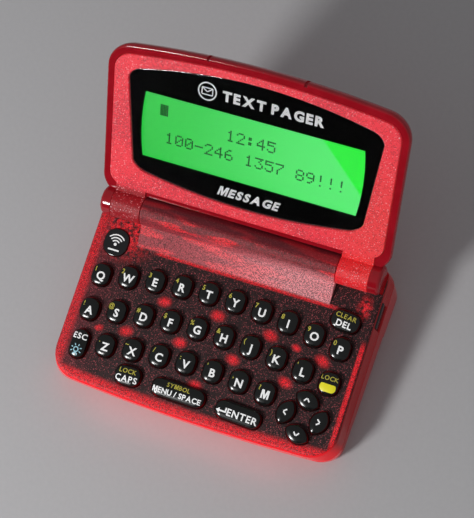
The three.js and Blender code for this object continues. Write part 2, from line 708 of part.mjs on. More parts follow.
const PIN_PLAY = 0.1;
const bezelBody = () => {
  const face = plate(lidOutline(BEZEL_INSET, LID_CUTOUT), BEZEL_H - BEZEL_THICK, BEZEL_H);
  const necks = onBothSides((side) => {
    const [x0, x1] = span(side, KNUCKLE_IN, KNUCKLE_OUT);
    return boxBetween([x0, 0, BEZEL_H - BEZEL_THICK], [x1, NECK_TOP, BEZEL_H]);
  });
  const knuckles = onBothSides((side) => lidBar(BARREL_R, ...span(side, KNUCKLE_IN, KNUCKLE_OUT)));
  const bores = onBothSides((side) =>
    lidBar(PIN.radius + PIN_PLAY, ...span(side, KNUCKLE_IN - PAST, KNUCKLE_OUT + PAST), 16),
  );
  const window = plate(lensOutline(GAP), -FAR, FAR);
  return cutAll(addAll(face, ...necks, ...knuckles), ...bores, window);
};
addPart(lidGroup, "lid_bezel", bezelBody(), PINK_BEZEL);
addPart(lidGroup, "display_lens", plate(lensOutline(0), LENS_BACK, BEZEL_H), BLACK);

const PANEL = { half: 33, low: 12.5, high: 39, back: -2.8, face: -1.3 };
const GUIDE = { half: 32, back: -4.4, face: -3.1 };
const panelBody = boxBetween([-PANEL.half, PANEL.low, PANEL.back], [PANEL.half, PANEL.high, PANEL.face]);
const guideBody = boxBetween([-GUIDE.half, PANEL.low, GUIDE.back], [GUIDE.half, PANEL.high, GUIDE.face]);
const flexBody = boxBetween([FLEX.left, FLEX.low, FLEX.bottom], [FLEX.right, FLEX.high, FLEX.top]);
addPart(lidGroup, "lcd_panel", panelBody, LCD_GREEN);
addPart(lidGroup, "lcd_backlight", guideBody, LIGHT_GUIDE);
addPart(lidGroup, "lid_flex_cable", flexBody, GOLD_FLEX);

export default pager;
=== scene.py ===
"""Looks for the folding two-way pager: fine casing, keys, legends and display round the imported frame.

Shapes are drawn in millimetres, in the deck's frame, the lid's frame or the pager's own frame, and
become metres in the pager's frame when a piece is finished. Materials convert back to local millimetres.
"""
import json
import math

import bmesh
import bpy
from mathutils import Matrix, Vector


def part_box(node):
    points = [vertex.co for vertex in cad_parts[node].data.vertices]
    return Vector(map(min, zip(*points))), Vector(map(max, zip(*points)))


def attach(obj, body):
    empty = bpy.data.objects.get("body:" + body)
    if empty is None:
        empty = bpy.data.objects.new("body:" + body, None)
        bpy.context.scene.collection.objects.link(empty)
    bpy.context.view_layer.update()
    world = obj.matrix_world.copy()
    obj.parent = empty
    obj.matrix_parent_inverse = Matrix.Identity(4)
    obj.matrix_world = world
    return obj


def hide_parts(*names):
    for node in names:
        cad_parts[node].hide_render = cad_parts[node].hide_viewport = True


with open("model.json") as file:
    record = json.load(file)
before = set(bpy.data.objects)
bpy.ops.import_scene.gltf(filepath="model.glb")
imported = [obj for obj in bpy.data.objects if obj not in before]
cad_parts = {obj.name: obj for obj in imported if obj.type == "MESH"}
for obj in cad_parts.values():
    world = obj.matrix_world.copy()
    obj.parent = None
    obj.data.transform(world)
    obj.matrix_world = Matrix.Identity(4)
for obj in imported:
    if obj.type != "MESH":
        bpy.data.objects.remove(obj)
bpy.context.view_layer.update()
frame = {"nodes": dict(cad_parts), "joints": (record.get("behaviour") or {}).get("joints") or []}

# ---- Driving dimensions, in millimetres ----------------------------------------------------
MM = 0.001
GAP = 0.3
WALL = 1.6
KEY_TOP = 1.8
KEY_CLEAR = 0.3
DECK_THICK = 1.6
FLOOR_THICK = 1.4
SEAM_DEPTH = 4.6
SEAM_GAP = 0.12
REAR_CORNER = 4.2
ROOM_CORNER = 4.5
BASE_FRONT_BOW = 1.5
BARREL_R = 4.0
BARREL_HALF = 27.5
KNUCKLE_IN = 27.8
KNUCKLE_OUT = 36.3
CAP_IN = 36.45
CAP_OUT = 39.5
RECESS_R = 4.35
RAMP_FOOT_V = 39.8
RAMP_TOP_H = 2.3
BULGE_STEP = 2.4
BULGE_FOOT_Y = -6.4
BULGE_START_Y = -8
FRONT_FOOT_Y = -42
LID_TILT = math.radians(50.5)
LID_TOP = 49.4
LID_BOTTOM = 2
LID_CORNER = 6.5
LID_TOP_BOW = 3.1
LID_RIM_H = 0.1
LID_CUTOUT = 5.8
BEZEL_H = 0.5
BEZEL_THICK = 1.5
BEZEL_INSET = 2.3
LENS_FACE = 0.2
KEY_PITCH = 7.58
KEY_ARC_R = 159
FAR = 70
PAST = 1

# ---- Frames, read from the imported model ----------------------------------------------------


def joint(name):
    return next(j for j in frame["joints"] if j["name"] == name)


hinge = Vector(joint("hinge_lid")["pos_m"]) / MM
deck_normal = Vector(joint("key_Q_press")["axis"])
DECK_SLOPE = math.atan2(-deck_normal.y, deck_normal.z)
HALF_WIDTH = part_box("lid_back_shell")[1].x / MM
SIDE_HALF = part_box("lower_case")[1].x / MM
BASE_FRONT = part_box("upper_case")[0].y / MM
BASE_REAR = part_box("lower_case")[1].y / MM
key_level = max(deck_normal.dot(v.co) for v in frame["nodes"]["key_Q"].data.vertices) / MM
DECK_FRONT_Z = (key_level - KEY_TOP - deck_normal.y * BASE_FRONT) / deck_normal.z

PAGER = Matrix.Identity(4)
DECK = Matrix.Translation((0, BASE_FRONT, DECK_FRONT_Z)) @ Matrix.Rotation(DECK_SLOPE, 4, "X")
LID = Matrix.Translation(hinge) @ Matrix.Rotation(LID_TILT, 4, "X")
HINGE_V, HINGE_H = (DECK.inverted() @ hinge).yz


def box_mm(name):
    """The lowest and highest corners of a CAD node in the pager's frame, in millimetres."""
    return [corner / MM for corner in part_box(name)]


def span(side, inner, outer):
    """A stretch of X on the left side (-1) or the right (1), in rising order."""
    return sorted((side * inner, side * outer))


def node_box(node, place):
    """The lowest and highest corners of a CAD node in a local frame, in millimetres."""
    inverse = place.inverted()
    points = [inverse @ (v.co / MM) for v in frame["nodes"][node].data.vertices]
    low = Vector(min(p[i] for p in points) for i in range(3))
    high = Vector(max(p[i] for p in points) for i in range(3))
    return low, high


def deck_z(y, offset=0.0):
    """The height of the deck's surface, or of a plane parallel to it, at y in the pager's frame."""
    return DECK_FRONT_Z + (y - BASE_FRONT) * math.tan(DECK_SLOPE) + offset / math.cos(DECK_SLOPE)


# ---- Outlines --------------------------------------------------------------------------------


def rounded_outline(
    half, low, high, radius, high_radius=None, arc_steps=8, edge_steps=1, low_bow=0.0, high_bow=0.0
):
    """A rounded rectangle, counter-clockwise, whose front and back edges may bow."""
    rear = high_radius or radius
    corners = [
        (half - radius, low + radius, radius, -math.pi / 2),
        (half - rear, high - rear, rear, 0),
        (-half + rear, high - rear, rear, math.pi / 2),
        (-half + radius, low + radius, radius, math.pi),
    ]
    points = []
    for corner, (x, y, turn, start) in enumerate(corners):
        for i in range(arc_steps + 1):
            angle = start + i / arc_steps * math.pi / 2
            points.append((x + turn * math.cos(angle), y + turn * math.sin(angle)))
        if corner in (1, 3):
            edge_y = high if corner == 1 else low
            first = half - rear if corner == 1 else radius - half
            points += [(first * (1 - 2 * i / edge_steps), edge_y) for i in range(1, edge_steps)]

    def bend(x, y):
        across = (x / half) ** 2
        share = (y - low) / (high - low)
        return x, y + low_bow * across * (1 - share) - high_bow * across * share

    return [bend(x, y) for x, y in points]


def circle(radius, steps, centre=(0, 0)):
    turns = [2 * math.pi * i / steps for i in range(steps)]
    return [(centre[0] + radius * math.cos(a), centre[1] + radius * math.sin(a)) for a in turns]


def leaf_outline(half, bulge, steps=16):
    points = []
    for sign in (1, -1):
        for i in range(steps):
            t = 1 - 2 * i / steps
            points.append((sign * t * half, sign * bulge * (1 - t * t) ** 0.75))
    return points


def turned(points, angle, shift):
    c, s = math.cos(angle), math.sin(angle)
    return [(shift[0] + c * x - s * y, shift[1] + s * x + c * y) for x, y in points]


# The base's outlines from the table up: half width, front, rear and front corner.
FOOT = (40.4, -44.4, BASE_REAR, 5.2)
FLARE = (SIDE_HALF, -45.3, BASE_REAR, 5.6)
SEAM = (SIDE_HALF, -45.75, BASE_REAR, 6.0)
DECK_EDGE = (HALF_WIDTH, BASE_FRONT, BASE_REAR, 7.0)
ROOM = (HALF_WIDTH - WALL, BASE_FRONT + WALL, BASE_REAR - WALL, ROOM_CORNER)


def between(first, second, share):
    return tuple(a + (b - a) * share for a, b in zip(first, second))


def base_outline(shape, inset=0.0):
    half, front, rear, corner = shape
    return rounded_outline(
        half=half - inset,
        low=front + inset,
        high=rear - inset,
        radius=max(corner - inset * 0.5, 1),
        high_radius=REAR_CORNER,
        edge_steps=24,
        low_bow=BASE_FRONT_BOW,
    )


def lid_outline(inset, bottom=None):
    return rounded_outline(
        half=HALF_WIDTH - inset,
        low=LID_BOTTOM + inset if bottom is None else bottom,
        high=LID_TOP - inset,
        radius=max(LID_CORNER - inset, 2.2),
        arc_steps=10,
        edge_steps=28,
        high_bow=LID_TOP_BOW,
    )


LENS = {"half": 34.4, "bottom": 9.1, "top": 45.1, "corner": 3, "rise": 3.3, "drop": 4.5, "widest": 28}


def lens_outline(grow=0.0):
    flat = rounded_outline(
        half=LENS["half"] + grow,
        low=LENS["bottom"] - grow,
        high=LENS["top"] + grow,
        radius=LENS["corner"] + grow,
        arc_steps=8,
        edge_steps=28,
        low_bow=LENS["rise"],
        high_bow=LENS["drop"],
    )

    def narrow(y):
        return (0.000395 if y < LENS["widest"] else 0.00006) * (y - LENS["widest"]) ** 2

    return [(x * (1 - narrow(y)), y) for x, y in flat]


WINDOW = {"half": 29.6, "low": 16.3, "high": 35.3, "bulge": 0.75}


def window_outline(grow=0.0, steps=12):
    """The display's window: straight above and below, bowed out at each side."""
    half = WINDOW["half"] + grow
    low = WINDOW["low"] - grow
    high = WINDOW["high"] + grow
    sides = []
    for sign, start, end in ((1, low, high), (-1, high, low)):
        for i in range(steps + 1):
            share = i / steps
            y = start + (end - start) * share
            sides.append((sign * (half + WINDOW["bulge"] * 4 * share * (1 - share)), y))
    return sides


# ---- Solids, drawn in millimetres ------------------------------------------------------------


def link(obj):
    bpy.context.scene.collection.objects.link(obj)
    return obj


def solid(bm, place=PAGER):
    """A working object in the pager's frame, in millimetres."""
    bm.transform(place)
    bmesh.ops.recalc_face_normals(bm, faces=bm.faces)
    mesh = bpy.data.meshes.new("work")
    bm.to_mesh(mesh)
    bm.free()
    return link(bpy.data.objects.new("work", mesh))


def loft(rings, place=PAGER):
    """A closed skin through loops of equally many points, with a flat cap at each end."""
    bm = bmesh.new()
    loops = [[bm.verts.new(p) for p in ring] for ring in rings]
    count = len(rings[0])
    for lower, upper in zip(loops, loops[1:]):
        for i in range(count):
            j = (i + 1) % count
            bm.faces.new((lower[i], lower[j], upper[j], upper[i]))
    bm.faces.new(loops[0][::-1])
    bm.faces.new(loops[-1])
    return solid(bm, place)


def at_height(points, z):
    return [(x, y, z) for x, y in points]


def plate(points, z0, z1, place=PAGER):
    return loft([at_height(points, z0), at_height(points, z1)], place)


def box(low, high, place=PAGER):
    corners = [(low[0], low[1]), (high[0], low[1]), (high[0], high[1]), (low[0], high[1])]
    return plate(corners, low[2], high[2], place)


def profile_x(points, x0, x1, place=PAGER):
    """A YZ outline drawn out along X."""
    return loft([[(x, y, z) for y, z in points] for x in (x0, x1)], place)


def bar(radius, x0, x1, centre=(0, 0), place=PAGER, steps=48, round_end=0.0):
    """A cylinder along X, whose end away from the middle may be rounded."""
    arc_steps = 6 if round_end else 0
    stations = [(x0, radius), (x1, radius)]
    if arc_steps:
        outward = 1 if abs(x1) > abs(x0) else -1
        inner, outer = (x0, x1) if outward > 0 else (x1, x0)
        start = outer - outward * round_end
        stations = [(inner, radius)]
        for i in range(arc_steps + 1):
            angle = i / arc_steps * math.pi / 2
            x = start + outward * round_end * math.sin(angle)
            stations.append((x, radius - round_end * (1 - math.cos(angle))))
    rings = [[(x, y, z) for y, z in circle(r, steps, centre)] for x, r in stations]
    return loft(rings, place)


def cylinder_z(radius, x, y, z0, z1, place=PAGER, steps=32):
    return plate(circle(radius, steps, (x, y)), z0, z1, place)


def drop(obj):
    mesh = obj.data
    bpy.data.objects.remove(obj)
    bpy.data.meshes.remove(mesh)


def settle(obj):
    """Turns an object's modifiers into its mesh."""
    depsgraph = bpy.context.evaluated_depsgraph_get()
    mesh = bpy.data.meshes.new_from_object(obj.evaluated_get(depsgraph))
    obj.modifiers.clear()
    old = obj.data
    obj.data = mesh
    bpy.data.meshes.remove(old)
    return obj


def combine(base, operation, others):
    for other in others:
        modifier = base.modifiers.new("boolean", "BOOLEAN")
        modifier.operation = operation
        modifier.solver = "EXACT"
        modifier.object = other
        settle(base)
        drop(other)
    return base


def cut(base, *others):
    return combine(base, "DIFFERENCE", others)


def add(base, *others):
    return combine(base, "UNION", others)


def keep(base, *others):
    return combine(base, "INTERSECT", others)


def pour(target, source):
    """Adds a copy of source to target, and frees source."""
    scratch = bpy.data.meshes.new("scratch")
    source.to_mesh(scratch)
    source.free()
    target.from_mesh(scratch)
    bpy.data.meshes.remove(scratch)


def join(first, *others):
    """One working object from several, with their material slots side by side."""
    bm = bmesh.new()
    materials = []
    for obj in (first, *others):
        own = bmesh.new()
        own.from_mesh(obj.data)
        slots = []
        for material in obj.data.materials:
            if material not in materials:
                materials.append(material)
            slots.append(materials.index(material))
        for face in own.faces:
            face.material_index = slots[face.material_index] if slots else 0
        pour(bm, own)
    for obj in (first, *others):
        drop(obj)
    mesh = bpy.data.meshes.new("work")
    bm.to_mesh(mesh)
    bm.free()
    for material in materials:
        mesh.materials.append(material)
    return link(bpy.data.objects.new("work", mesh))


def paint(obj, material):
    obj.data.materials.clear()
    obj.data.materials.append(material)
    return obj


SMOOTH_ANGLE = math.radians(32)


def finish_piece(work, name, body, replaced=()):
    """Makes a working object a piece of the pager: metres, clean shading, body and nodes."""
    mesh = work.data
    mesh.transform(Matrix.Scale(MM, 4))
    work.name = name
    mesh.name = name
    mesh.shade_smooth()
    mesh.set_sharp_from_angle(angle=SMOOTH_ANGLE)
    weighted = work.modifiers.new("weighted", "WEIGHTED_NORMAL")
    weighted.keep_sharp = True
    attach(work, body)
    if replaced:
        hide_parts(*replaced)
    return work


# ---- Node trees ------------------------------------------------------------------------------


class Look:
    """A material's node tree, with short ways to add nodes. A value is a socket, a number or a colour."""

    def __init__(self, name, place=PAGER):
        self.material = bpy.data.materials.new(name)
        self.material.use_nodes = True
        self.tree = self.material.node_tree
        self.shader = self.tree.nodes["Principled BSDF"]
        self.local = self.local_millimetres(place)

    def node(self, kind, **settings):
        made = self.tree.nodes.new(kind)
        for key, value in settings.items():
            setattr(made, key, value)
        return made

    def feed(self, socket, value):
        if isinstance(value, bpy.types.NodeSocket):
            self.tree.links.new(value, socket)
        elif hasattr(socket.default_value, "__len__") and not hasattr(value, "__len__"):
            socket.default_value = [value] * len(socket.default_value)
        elif hasattr(value, "__len__") and len(socket.default_value) == 4 and len(value) == 3:
            socket.default_value = (*value, 1)
        else:
            socket.default_value = value

    def set(self, **values):
        for key, value in values.items():
            self.feed(self.shader.inputs[key.replace("_", " ")], value)
        return self

    def local_millimetres(self, place):
        """The piece's coordinates in a local frame, in millimetres."""
        coordinates = self.node("ShaderNodeTexCoord")
        mapping = self.node("ShaderNodeMapping", vector_type="TEXTURE")
        self.feed(mapping.inputs["Vector"], coordinates.outputs["Object"])
        self.feed(mapping.inputs["Location"], place.translation * MM)
        self.feed(mapping.inputs["Rotation"], Vector(place.to_euler()))
        self.feed(mapping.inputs["Scale"], MM)
        return mapping.outputs[0]

    def axes(self):
        split = self.node("ShaderNodeSeparateXYZ")
        self.feed(split.inputs[0], self.local)
        return split.outputs[0], split.outputs[1], split.outputs[2]

    def math(self, operation, *values, clamp=False):
        made = self.node("ShaderNodeMath", operation=operation, use_clamp=clamp)
        for socket, value in zip(made.inputs, values):
            self.feed(socket, value)
        return made.outputs[0]

    def add(self, a, b):
        return self.math("ADD", a, b)

    def times(self, a, b):
        return self.math("MULTIPLY", a, b)

    def most(self, *values):
        result = values[0]
        for value in values[1:]:
            result = self.math("MAXIMUM", result, value)
        return result

    def ramp(self, value, start, end, low=0.0, high=1.0):
        """A smooth climb from low to high as value goes from start to end."""
        made = self.node("ShaderNodeMapRange", interpolation_type="SMOOTHSTEP")
        for socket, entry in zip(made.inputs, (value, start, end, low, high)):
            self.feed(socket, entry)
        return made.outputs[0]

    def near(self, value, centre, half, soft):
        """1 within half of centre, falling to 0 over soft."""
        return self.ramp(self.math("ABSOLUTE", self.add(value, -centre)), half, half + soft, 1.0, 0.0)

    def blob(self, u, v, centre, size, soft=0.8):
        """A soft ellipse: 1 inside, 0 outside."""
        du = self.math("DIVIDE", self.add(u, -centre[0]), size[0])
        dv = self.math("DIVIDE", self.add(v, -centre[1]), size[1])
        away = self.math("SQRT", self.add(self.times(du, du), self.times(dv, dv)))
        return self.ramp(away, 1 - soft, 1 + soft * 0.5, 1.0, 0.0)

    def mix(self, share, a, b, blend="MIX"):
        made = self.node("ShaderNodeMix", data_type="RGBA", blend_type=blend)
        self.feed(made.inputs[0], share)
        self.feed(made.inputs[6], a)
        self.feed(made.inputs[7], b)
        return made.outputs[2]

    def noise(self, size, detail=2.0, vector=None):
        made = self.node("ShaderNodeTexNoise")
        self.feed(made.inputs["Vector"], vector or self.local)
        self.feed(made.inputs["Scale"], 1 / size)
        self.feed(made.inputs["Detail"], detail)
        return made.outputs["Fac"]

    def cells(self, size, output="Distance", vector=None):
        """Random grains of about the given size."""
        made = self.node("ShaderNodeTexVoronoi")
        self.feed(made.inputs["Vector"], vector or self.local)
        self.feed(made.inputs["Scale"], 1 / size)
        return made.outputs[output]

    def grain_value(self, size):
        """One random number for each grain."""
        split = self.node("ShaderNodeSeparateColor")
        self.feed(split.inputs[0], self.cells(size, "Color"))
        return split.outputs[0], split.outputs[1]

    def bump(self, height, strength, distance):
        made = self.node("ShaderNodeBump")
        self.feed(made.inputs["Height"], height)
        self.feed(made.inputs["Strength"], strength)
        self.feed(made.inputs["Distance"], distance * MM)
        self.feed(self.shader.inputs["Normal"], made.outputs[0])
        return self


DARK_DECK = (0.018, 0.0045, 0.005)
WALL_RED = (0.24, 0.008, 0.010)
# Painted light: the bright red painted along the front of the base.
PAINTED_LIT_FRONT_RED = (0.86, 0.006, 0.014)
# Painted highlight: the colour of the deck's brightest sparkling grains.
PAINTED_GLINT = (0.62, 0.11, 0.13)
# Painted highlight: pink for the ramp's face.
PAINTED_ROSE_HIGHLIGHT = (0.66, 0.10, 0.125)
HUMP_RED = (0.20, 0.010, 0.016)
MAROON = (0.115, 0.012, 0.018)
# Painted light: the bright red of lit spots, lit edges and the right of the knuckles.
PAINTED_LIT_RED = (0.80, 0.012, 0.022)
DEEP_RED = (0.32, 0.006, 0.012)
PINK_RED = (0.86, 0.036, 0.056)
# Painted highlight: whitish pink for the ramp's face and the bezel's brightest grains.
PAINTED_PALE_HIGHLIGHT = (0.95, 0.45, 0.48)


def grain_and_painted_glints(look, base, sparkle, spread, painted_glint_colour, size=0.3, share=1.0):
    """A spark-eroded surface: random light and dark grains over base, partly the texture's own grain and
    partly painted sparkle, the rarest grains in a painted highlight colour, and a bump to catch the light.
    """
    value, other = look.grain_value(size)
    shade = look.ramp(value, 0.0, 1.0, 1 - spread, 1 + spread)
    toned = look.node("ShaderNodeVectorMath", operation="SCALE")
    look.feed(toned.inputs[0], base)
    look.feed(toned.inputs["Scale"], shade)
    grains = look.mix(share, base, toned.outputs[0])
    # Painted highlights: the rarest grains take the given highlight colour.
    painted_glints = look.times(look.ramp(other, 1 - sparkle, 1.0), share)
    colour = look.mix(painted_glints, grains, painted_glint_colour)
    look.set(Base_Color=colour)
    height = look.add(look.cells(size), look.times(look.noise(size * 2.5), 0.6))
    look.bump(look.times(height, share), 0.5, 0.1)
    return colour


def wall_share(look, h):
    """1 on the smooth walls below the deck's edge, 0 on the deck."""
    return look.ramp(h, -0.12, -0.4)


def wall_tone_with_painted_light(look, y):
    """Painted light: bright red along the front, where light through the plastic is painted; dark and
    smooth along the sides and the rear.
    """
    front = look.ramp(y, -38.5, -42.5)
    return look.mix(front, WALL_RED, PAINTED_LIT_FRONT_RED)


def deck_look():
    """Dark translucent red over the board, with painted light: bright red at its edges, between keys and
    round the barrel; painted shade on the barrel's rear top; a painted highlight on the ramp; and a faint
    painted red emission.
    """
    look = Look("deck_plastic", DECK)
    u, v, h = look.axes()
    arc = look.add(v, look.times(look.times(u, u), 1 / (2 * KEY_ARC_R)))
    spots = []
    for column, row_v, size in PAINTED_GLOW_SPOTS:
        spots.append(look.blob(u, arc, (column * KEY_PITCH / 2, row_v), (size, size * 0.72)))
    painted_glow = look.most(*spots)
    base = look.mix(look.ramp(u, -42, -26), MAROON, DARK_DECK)
    broken = look.ramp(look.noise(1.1), 0.35, 0.6)
    # Painted light: bright red strips along the left, right and front edges, round the badge, along the
    # ramp's foot and by the delete key, for light through the plastic.
    left = look.times(look.ramp(u, -38.6, -36.4, 1.0, 0.0), 0.7)
    right = look.times(look.near(u, 39.2, 0.35, 0.5), look.near(v, 17, 14, 3))
    front_v = look.add(v, look.times(look.times(u, u), -BASE_FRONT_BOW / HALF_WIDTH**2))
    front = look.times(look.ramp(front_v, 1.6, 3.6, 1.0, 0.0), 0.95)
    near_badge = look.times(look.blob(u, v, (-31.5, 43), (8.5, 7.5)), broken)
    foot = look.times(look.near(v, 39.7, 0.25, 0.5), look.near(u, 4, 24, 3))
    by_delete = look.times(look.blob(u, v, (36.6, 41.8), (1.9, 3.2)), broken)
    lit = look.most(painted_glow, left, right, front, near_badge, look.times(foot, 0.8), by_delete)
    # Painted light and shade on the barrel: streaked red patches of painted light, strong in front of the
    # hinge line and faint behind it, and the barrel's rear top painted darker as shade.
    streaks = look.node("ShaderNodeMapping")
    look.feed(streaks.inputs["Vector"], look.local)
    streaks.inputs["Scale"].default_value = (0.22, 1, 1)
    painted_patches = look.ramp(look.noise(2.6, 1.0, streaks.outputs[0]), 0.48, 0.62)
    on_hump = look.times(look.ramp(h, 0.02, 0.3), look.near(u, 0, BARREL_HALF + 0.2, 0.1))
    behind = look.ramp(v, HINGE_V - 0.8, HINGE_V + 0.6)
    hump_painted_lit = look.mix(behind, look.times(painted_patches, 0.85), look.times(painted_patches, 0.2))
    lit = look.mix(on_hump, lit, hump_painted_lit)
    plain = look.mix(on_hump, base, look.mix(behind, HUMP_RED, MAROON))
    # Painted highlight: the ramp's front face turns pink, whiter to the right, as a broad painted
    # highlight.
    ramp_face = look.times(on_hump, look.ramp(v, HINGE_V - 2.2, HINGE_V - 4.0))
    painted_sheen = look.times(ramp_face, look.ramp(u, -27, 20, 0.25, 0.75))
    painted_highlight = look.mix(look.ramp(u, -20, 22, 0.0, 0.6), PAINTED_ROSE_HIGHLIGHT, PAINTED_PALE_HIGHLIGHT)
    deck = look.mix(painted_sheen, look.mix(lit, plain, PAINTED_LIT_RED), painted_highlight)
    walls = wall_share(look, h)
    coloured = look.mix(walls, deck, wall_tone_with_painted_light(look, look.add(v, BASE_FRONT)))
    smooth = look.most(walls, look.times(look.times(on_hump, behind), 0.8))
    grain_and_painted_glints(look, coloured, 0.13, 0.85, PAINTED_GLINT, 0.16, look.add(1.0, look.times(smooth, -1.0)))
    look.set(Roughness=look.ramp(smooth, 0, 1, 0.40, 0.16), IOR=1.5, Specular_IOR_Level=0.35)
    # Painted light: a red emission, stronger on the walls, though the plastic is no lamp.
    look.set(Emission_Color=coloured, Emission_Strength=look.ramp(walls, 0, 1, 0.10, 0.30))
    return look.material


# Painted light: bright spots between the keys, where light through the red plastic is painted: half columns
# from the middle, row height on the arc, size.
PAINTED_GLOW_SPOTS = (
    (-4, 28.6, 1.9), (0, 28.6, 2.0), (4, 28.5, 2.0), (6, 28.4, 1.3), (8, 28.4, 2.0),
    (-8, 19.0, 1.2), (-6, 19.0, 1.9), (-2, 19.0, 1.9), (2, 19.0, 1.9), (6, 19.0, 1.9),
    (0, 9.4, 1.9),
)


def bezel_look():
    look = Look("bezel_plastic", LID)
    x, y, _ = look.axes()
    tone = look.mix(look.ramp(look.noise(14.0, 1.0), 0.35, 0.65), PINK_RED, (0.72, 0.034, 0.054))
    # Painted light: near the knuckles the red runs from deep on the left to bright on the right, and a
    # bright patch of painted light lies on the right of the face.
    knuckle = look.ramp(y, 6.6, 4.6)
    tone = look.mix(knuckle, tone, look.mix(look.ramp(x, -20, 20), DEEP_RED, PAINTED_LIT_RED))
    painted_light_patch = look.times(look.blob(x, y, (38, 14), (13, 20)), 0.45)
    tone = look.mix(painted_light_patch, tone, (0.86, 0.06, 0.05))
    grain_and_painted_glints(look, tone, 0.07, 0.35, PAINTED_PALE_HIGHLIGHT, 0.2)
    look.set(Roughness=0.4, IOR=1.5, Specular_IOR_Level=0.35)
    # Painted light: a red emission on the face, which is no lamp.
    look.set(Emission_Color=tone, Emission_Strength=0.2)
    return look.material


def smooth_red_look(name, base, streak, emission, roughness=0.12):
    look = Look(name)
    share = look.ramp(look.noise(5.0, 2.0), 0.35, 0.7)
    colour = look.mix(share, base, streak)
    look.set(Base_Color=colour, Roughness=roughness, IOR=1.52)
    # Painted light: a faint red emission, though the plastic is no lamp.
    look.set(Emission_Color=colour, Emission_Strength=emission)
    look.bump(look.noise(0.9, 2.0), 0.05, 0.05)
    return look.material


def case_look():
    look = Look("case_plastic")
    _, y, _ = look.axes()
    depth = look.times(look.ramp(look.noise(5.0, 2.0), 0.4, 0.7), 0.3)
    tone = look.mix(depth, wall_tone_with_painted_light(look, y), DEEP_RED)
    look.set(Base_Color=tone, Roughness=0.16, IOR=1.5, Specular_IOR_Level=0.3)
    # Painted light: a red emission, though the plastic is no lamp.
    look.set(Emission_Color=tone, Emission_Strength=0.30)
    look.bump(look.noise(0.9, 2.0), 0.05, 0.05)
    return look.material


def gloss_look(name, colour, roughness, speck=0.3):
    look = Look(name)
    shade = look.mix(look.noise(speck, 1.0), colour, tuple(c * 1.35 for c in colour))
    look.set(Base_Color=shade, Roughness=roughness, IOR=1.55)
    look.bump(look.noise(speck, 1.0), 0.04, 0.02)
    return look.material


def ink_look(name, colour):
    look = Look(name)
    shade = look.mix(look.noise(0.25, 1.0), tuple(c * 0.9 for c in colour), colour)
    look.set(Base_Color=shade, Roughness=0.4)
    # Painted light: a faint emission so the ink reads brighter, though it is no lamp.
    look.set(Emission_Color=shade, Emission_Strength=0.22)
    return look.material


def metal_look(name, colour, roughness):
    look = Look(name)
    shade = look.mix(look.noise(1.5, 3.0), tuple(c * 0.8 for c in colour), colour)
    look.set(Base_Color=shade, Roughness=look.ramp(look.noise(0.6), 0, 1, roughness * 0.7, roughness * 1.4))
    look.set(Metallic=1.0)
    return look.material


def lcd_look():
    """The lit display: greener and brighter to the right."""
    look = Look("lcd_lit", LID)
    u, v, _ = look.axes()
    across = look.ramp(u, -32, 32)
    colour = look.mix(across, (0.020, 0.56, 0.055), (0.10, 0.88, 0.18))
    corner = look.ramp(look.add(u, look.times(v, 0.9)), 49, 50.5)
    colour = look.mix(corner, colour, (0.012, 0.90, 0.035))
    look.set(Base_Color=(0.02, 0.12, 0.03), Roughness=0.5)
    look.set(Emission_Color=colour, Emission_Strength=0.95)
    return look.material


def glass_look():
    look = Look("lens_glass")
    look.set(Base_Color=(1, 1, 1), Roughness=0.0, IOR=1.5, Transmission_Weight=1.0)
    return look.material


M = {
    "deck": deck_look(),
    "bezel": bezel_look(),
    "rim": smooth_red_look("rim_plastic", (0.31, 0.005, 0.012), (0.36, 0.007, 0.016), 0.10),
    "case": case_look(),
    "key": gloss_look("key_gloss", (0.003, 0.0042, 0.0038), 0.2),
    "black": gloss_look("black_gloss", (0.008, 0.008, 0.009), 0.15),
    "mask": gloss_look("lens_mask", (0.0015, 0.0015, 0.0015), 0.12),
    "white": ink_look("ink_white", (0.98, 0.99, 0.99)),
    "yellow": ink_look("ink_yellow", (0.50, 0.44, 0.06)),
    "patch": ink_look("ink_patch", (0.85, 0.78, 0.02)),
    "blue": ink_look("ink_blue", (0.35, 0.62, 0.72)),
    "lcd": lcd_look(),
    "dot": ink_look("lcd_dot", (0.004, 0.035, 0.012)),
    "glass": glass_look(),
    "steel": metal_look("steel", (0.6, 0.61, 0.62), 0.3),
    "copper": metal_look("copper", (0.72, 0.42, 0.25), 0.35),
    "board": gloss_look("board_green", (0.02, 0.10, 0.045), 0.45, 2.0),
    "mat": gloss_look("mat_rubber", (0.035, 0.037, 0.04), 0.8, 1.0),
    "guide": gloss_look("light_guide", (0.6, 0.85, 0.62), 0.3, 4.0),
    "wrap": gloss_look("cell_wrap", (0.03, 0.05, 0.085), 0.3, 3.0),
    "flex": gloss_look("flex_amber", (0.42, 0.13, 0.02), 0.4, 1.0),
}

# ---- Keys ------------------------------------------------------------------------------------
FLANGE_TOP = -1.95
FLANGE_BOTTOM = -2.5
FLANGE_GROW = 0.5
EDGE_RADIUS = 0.25
PILLOW_REACH = 2.2
PILLOW_DROP = 0.5


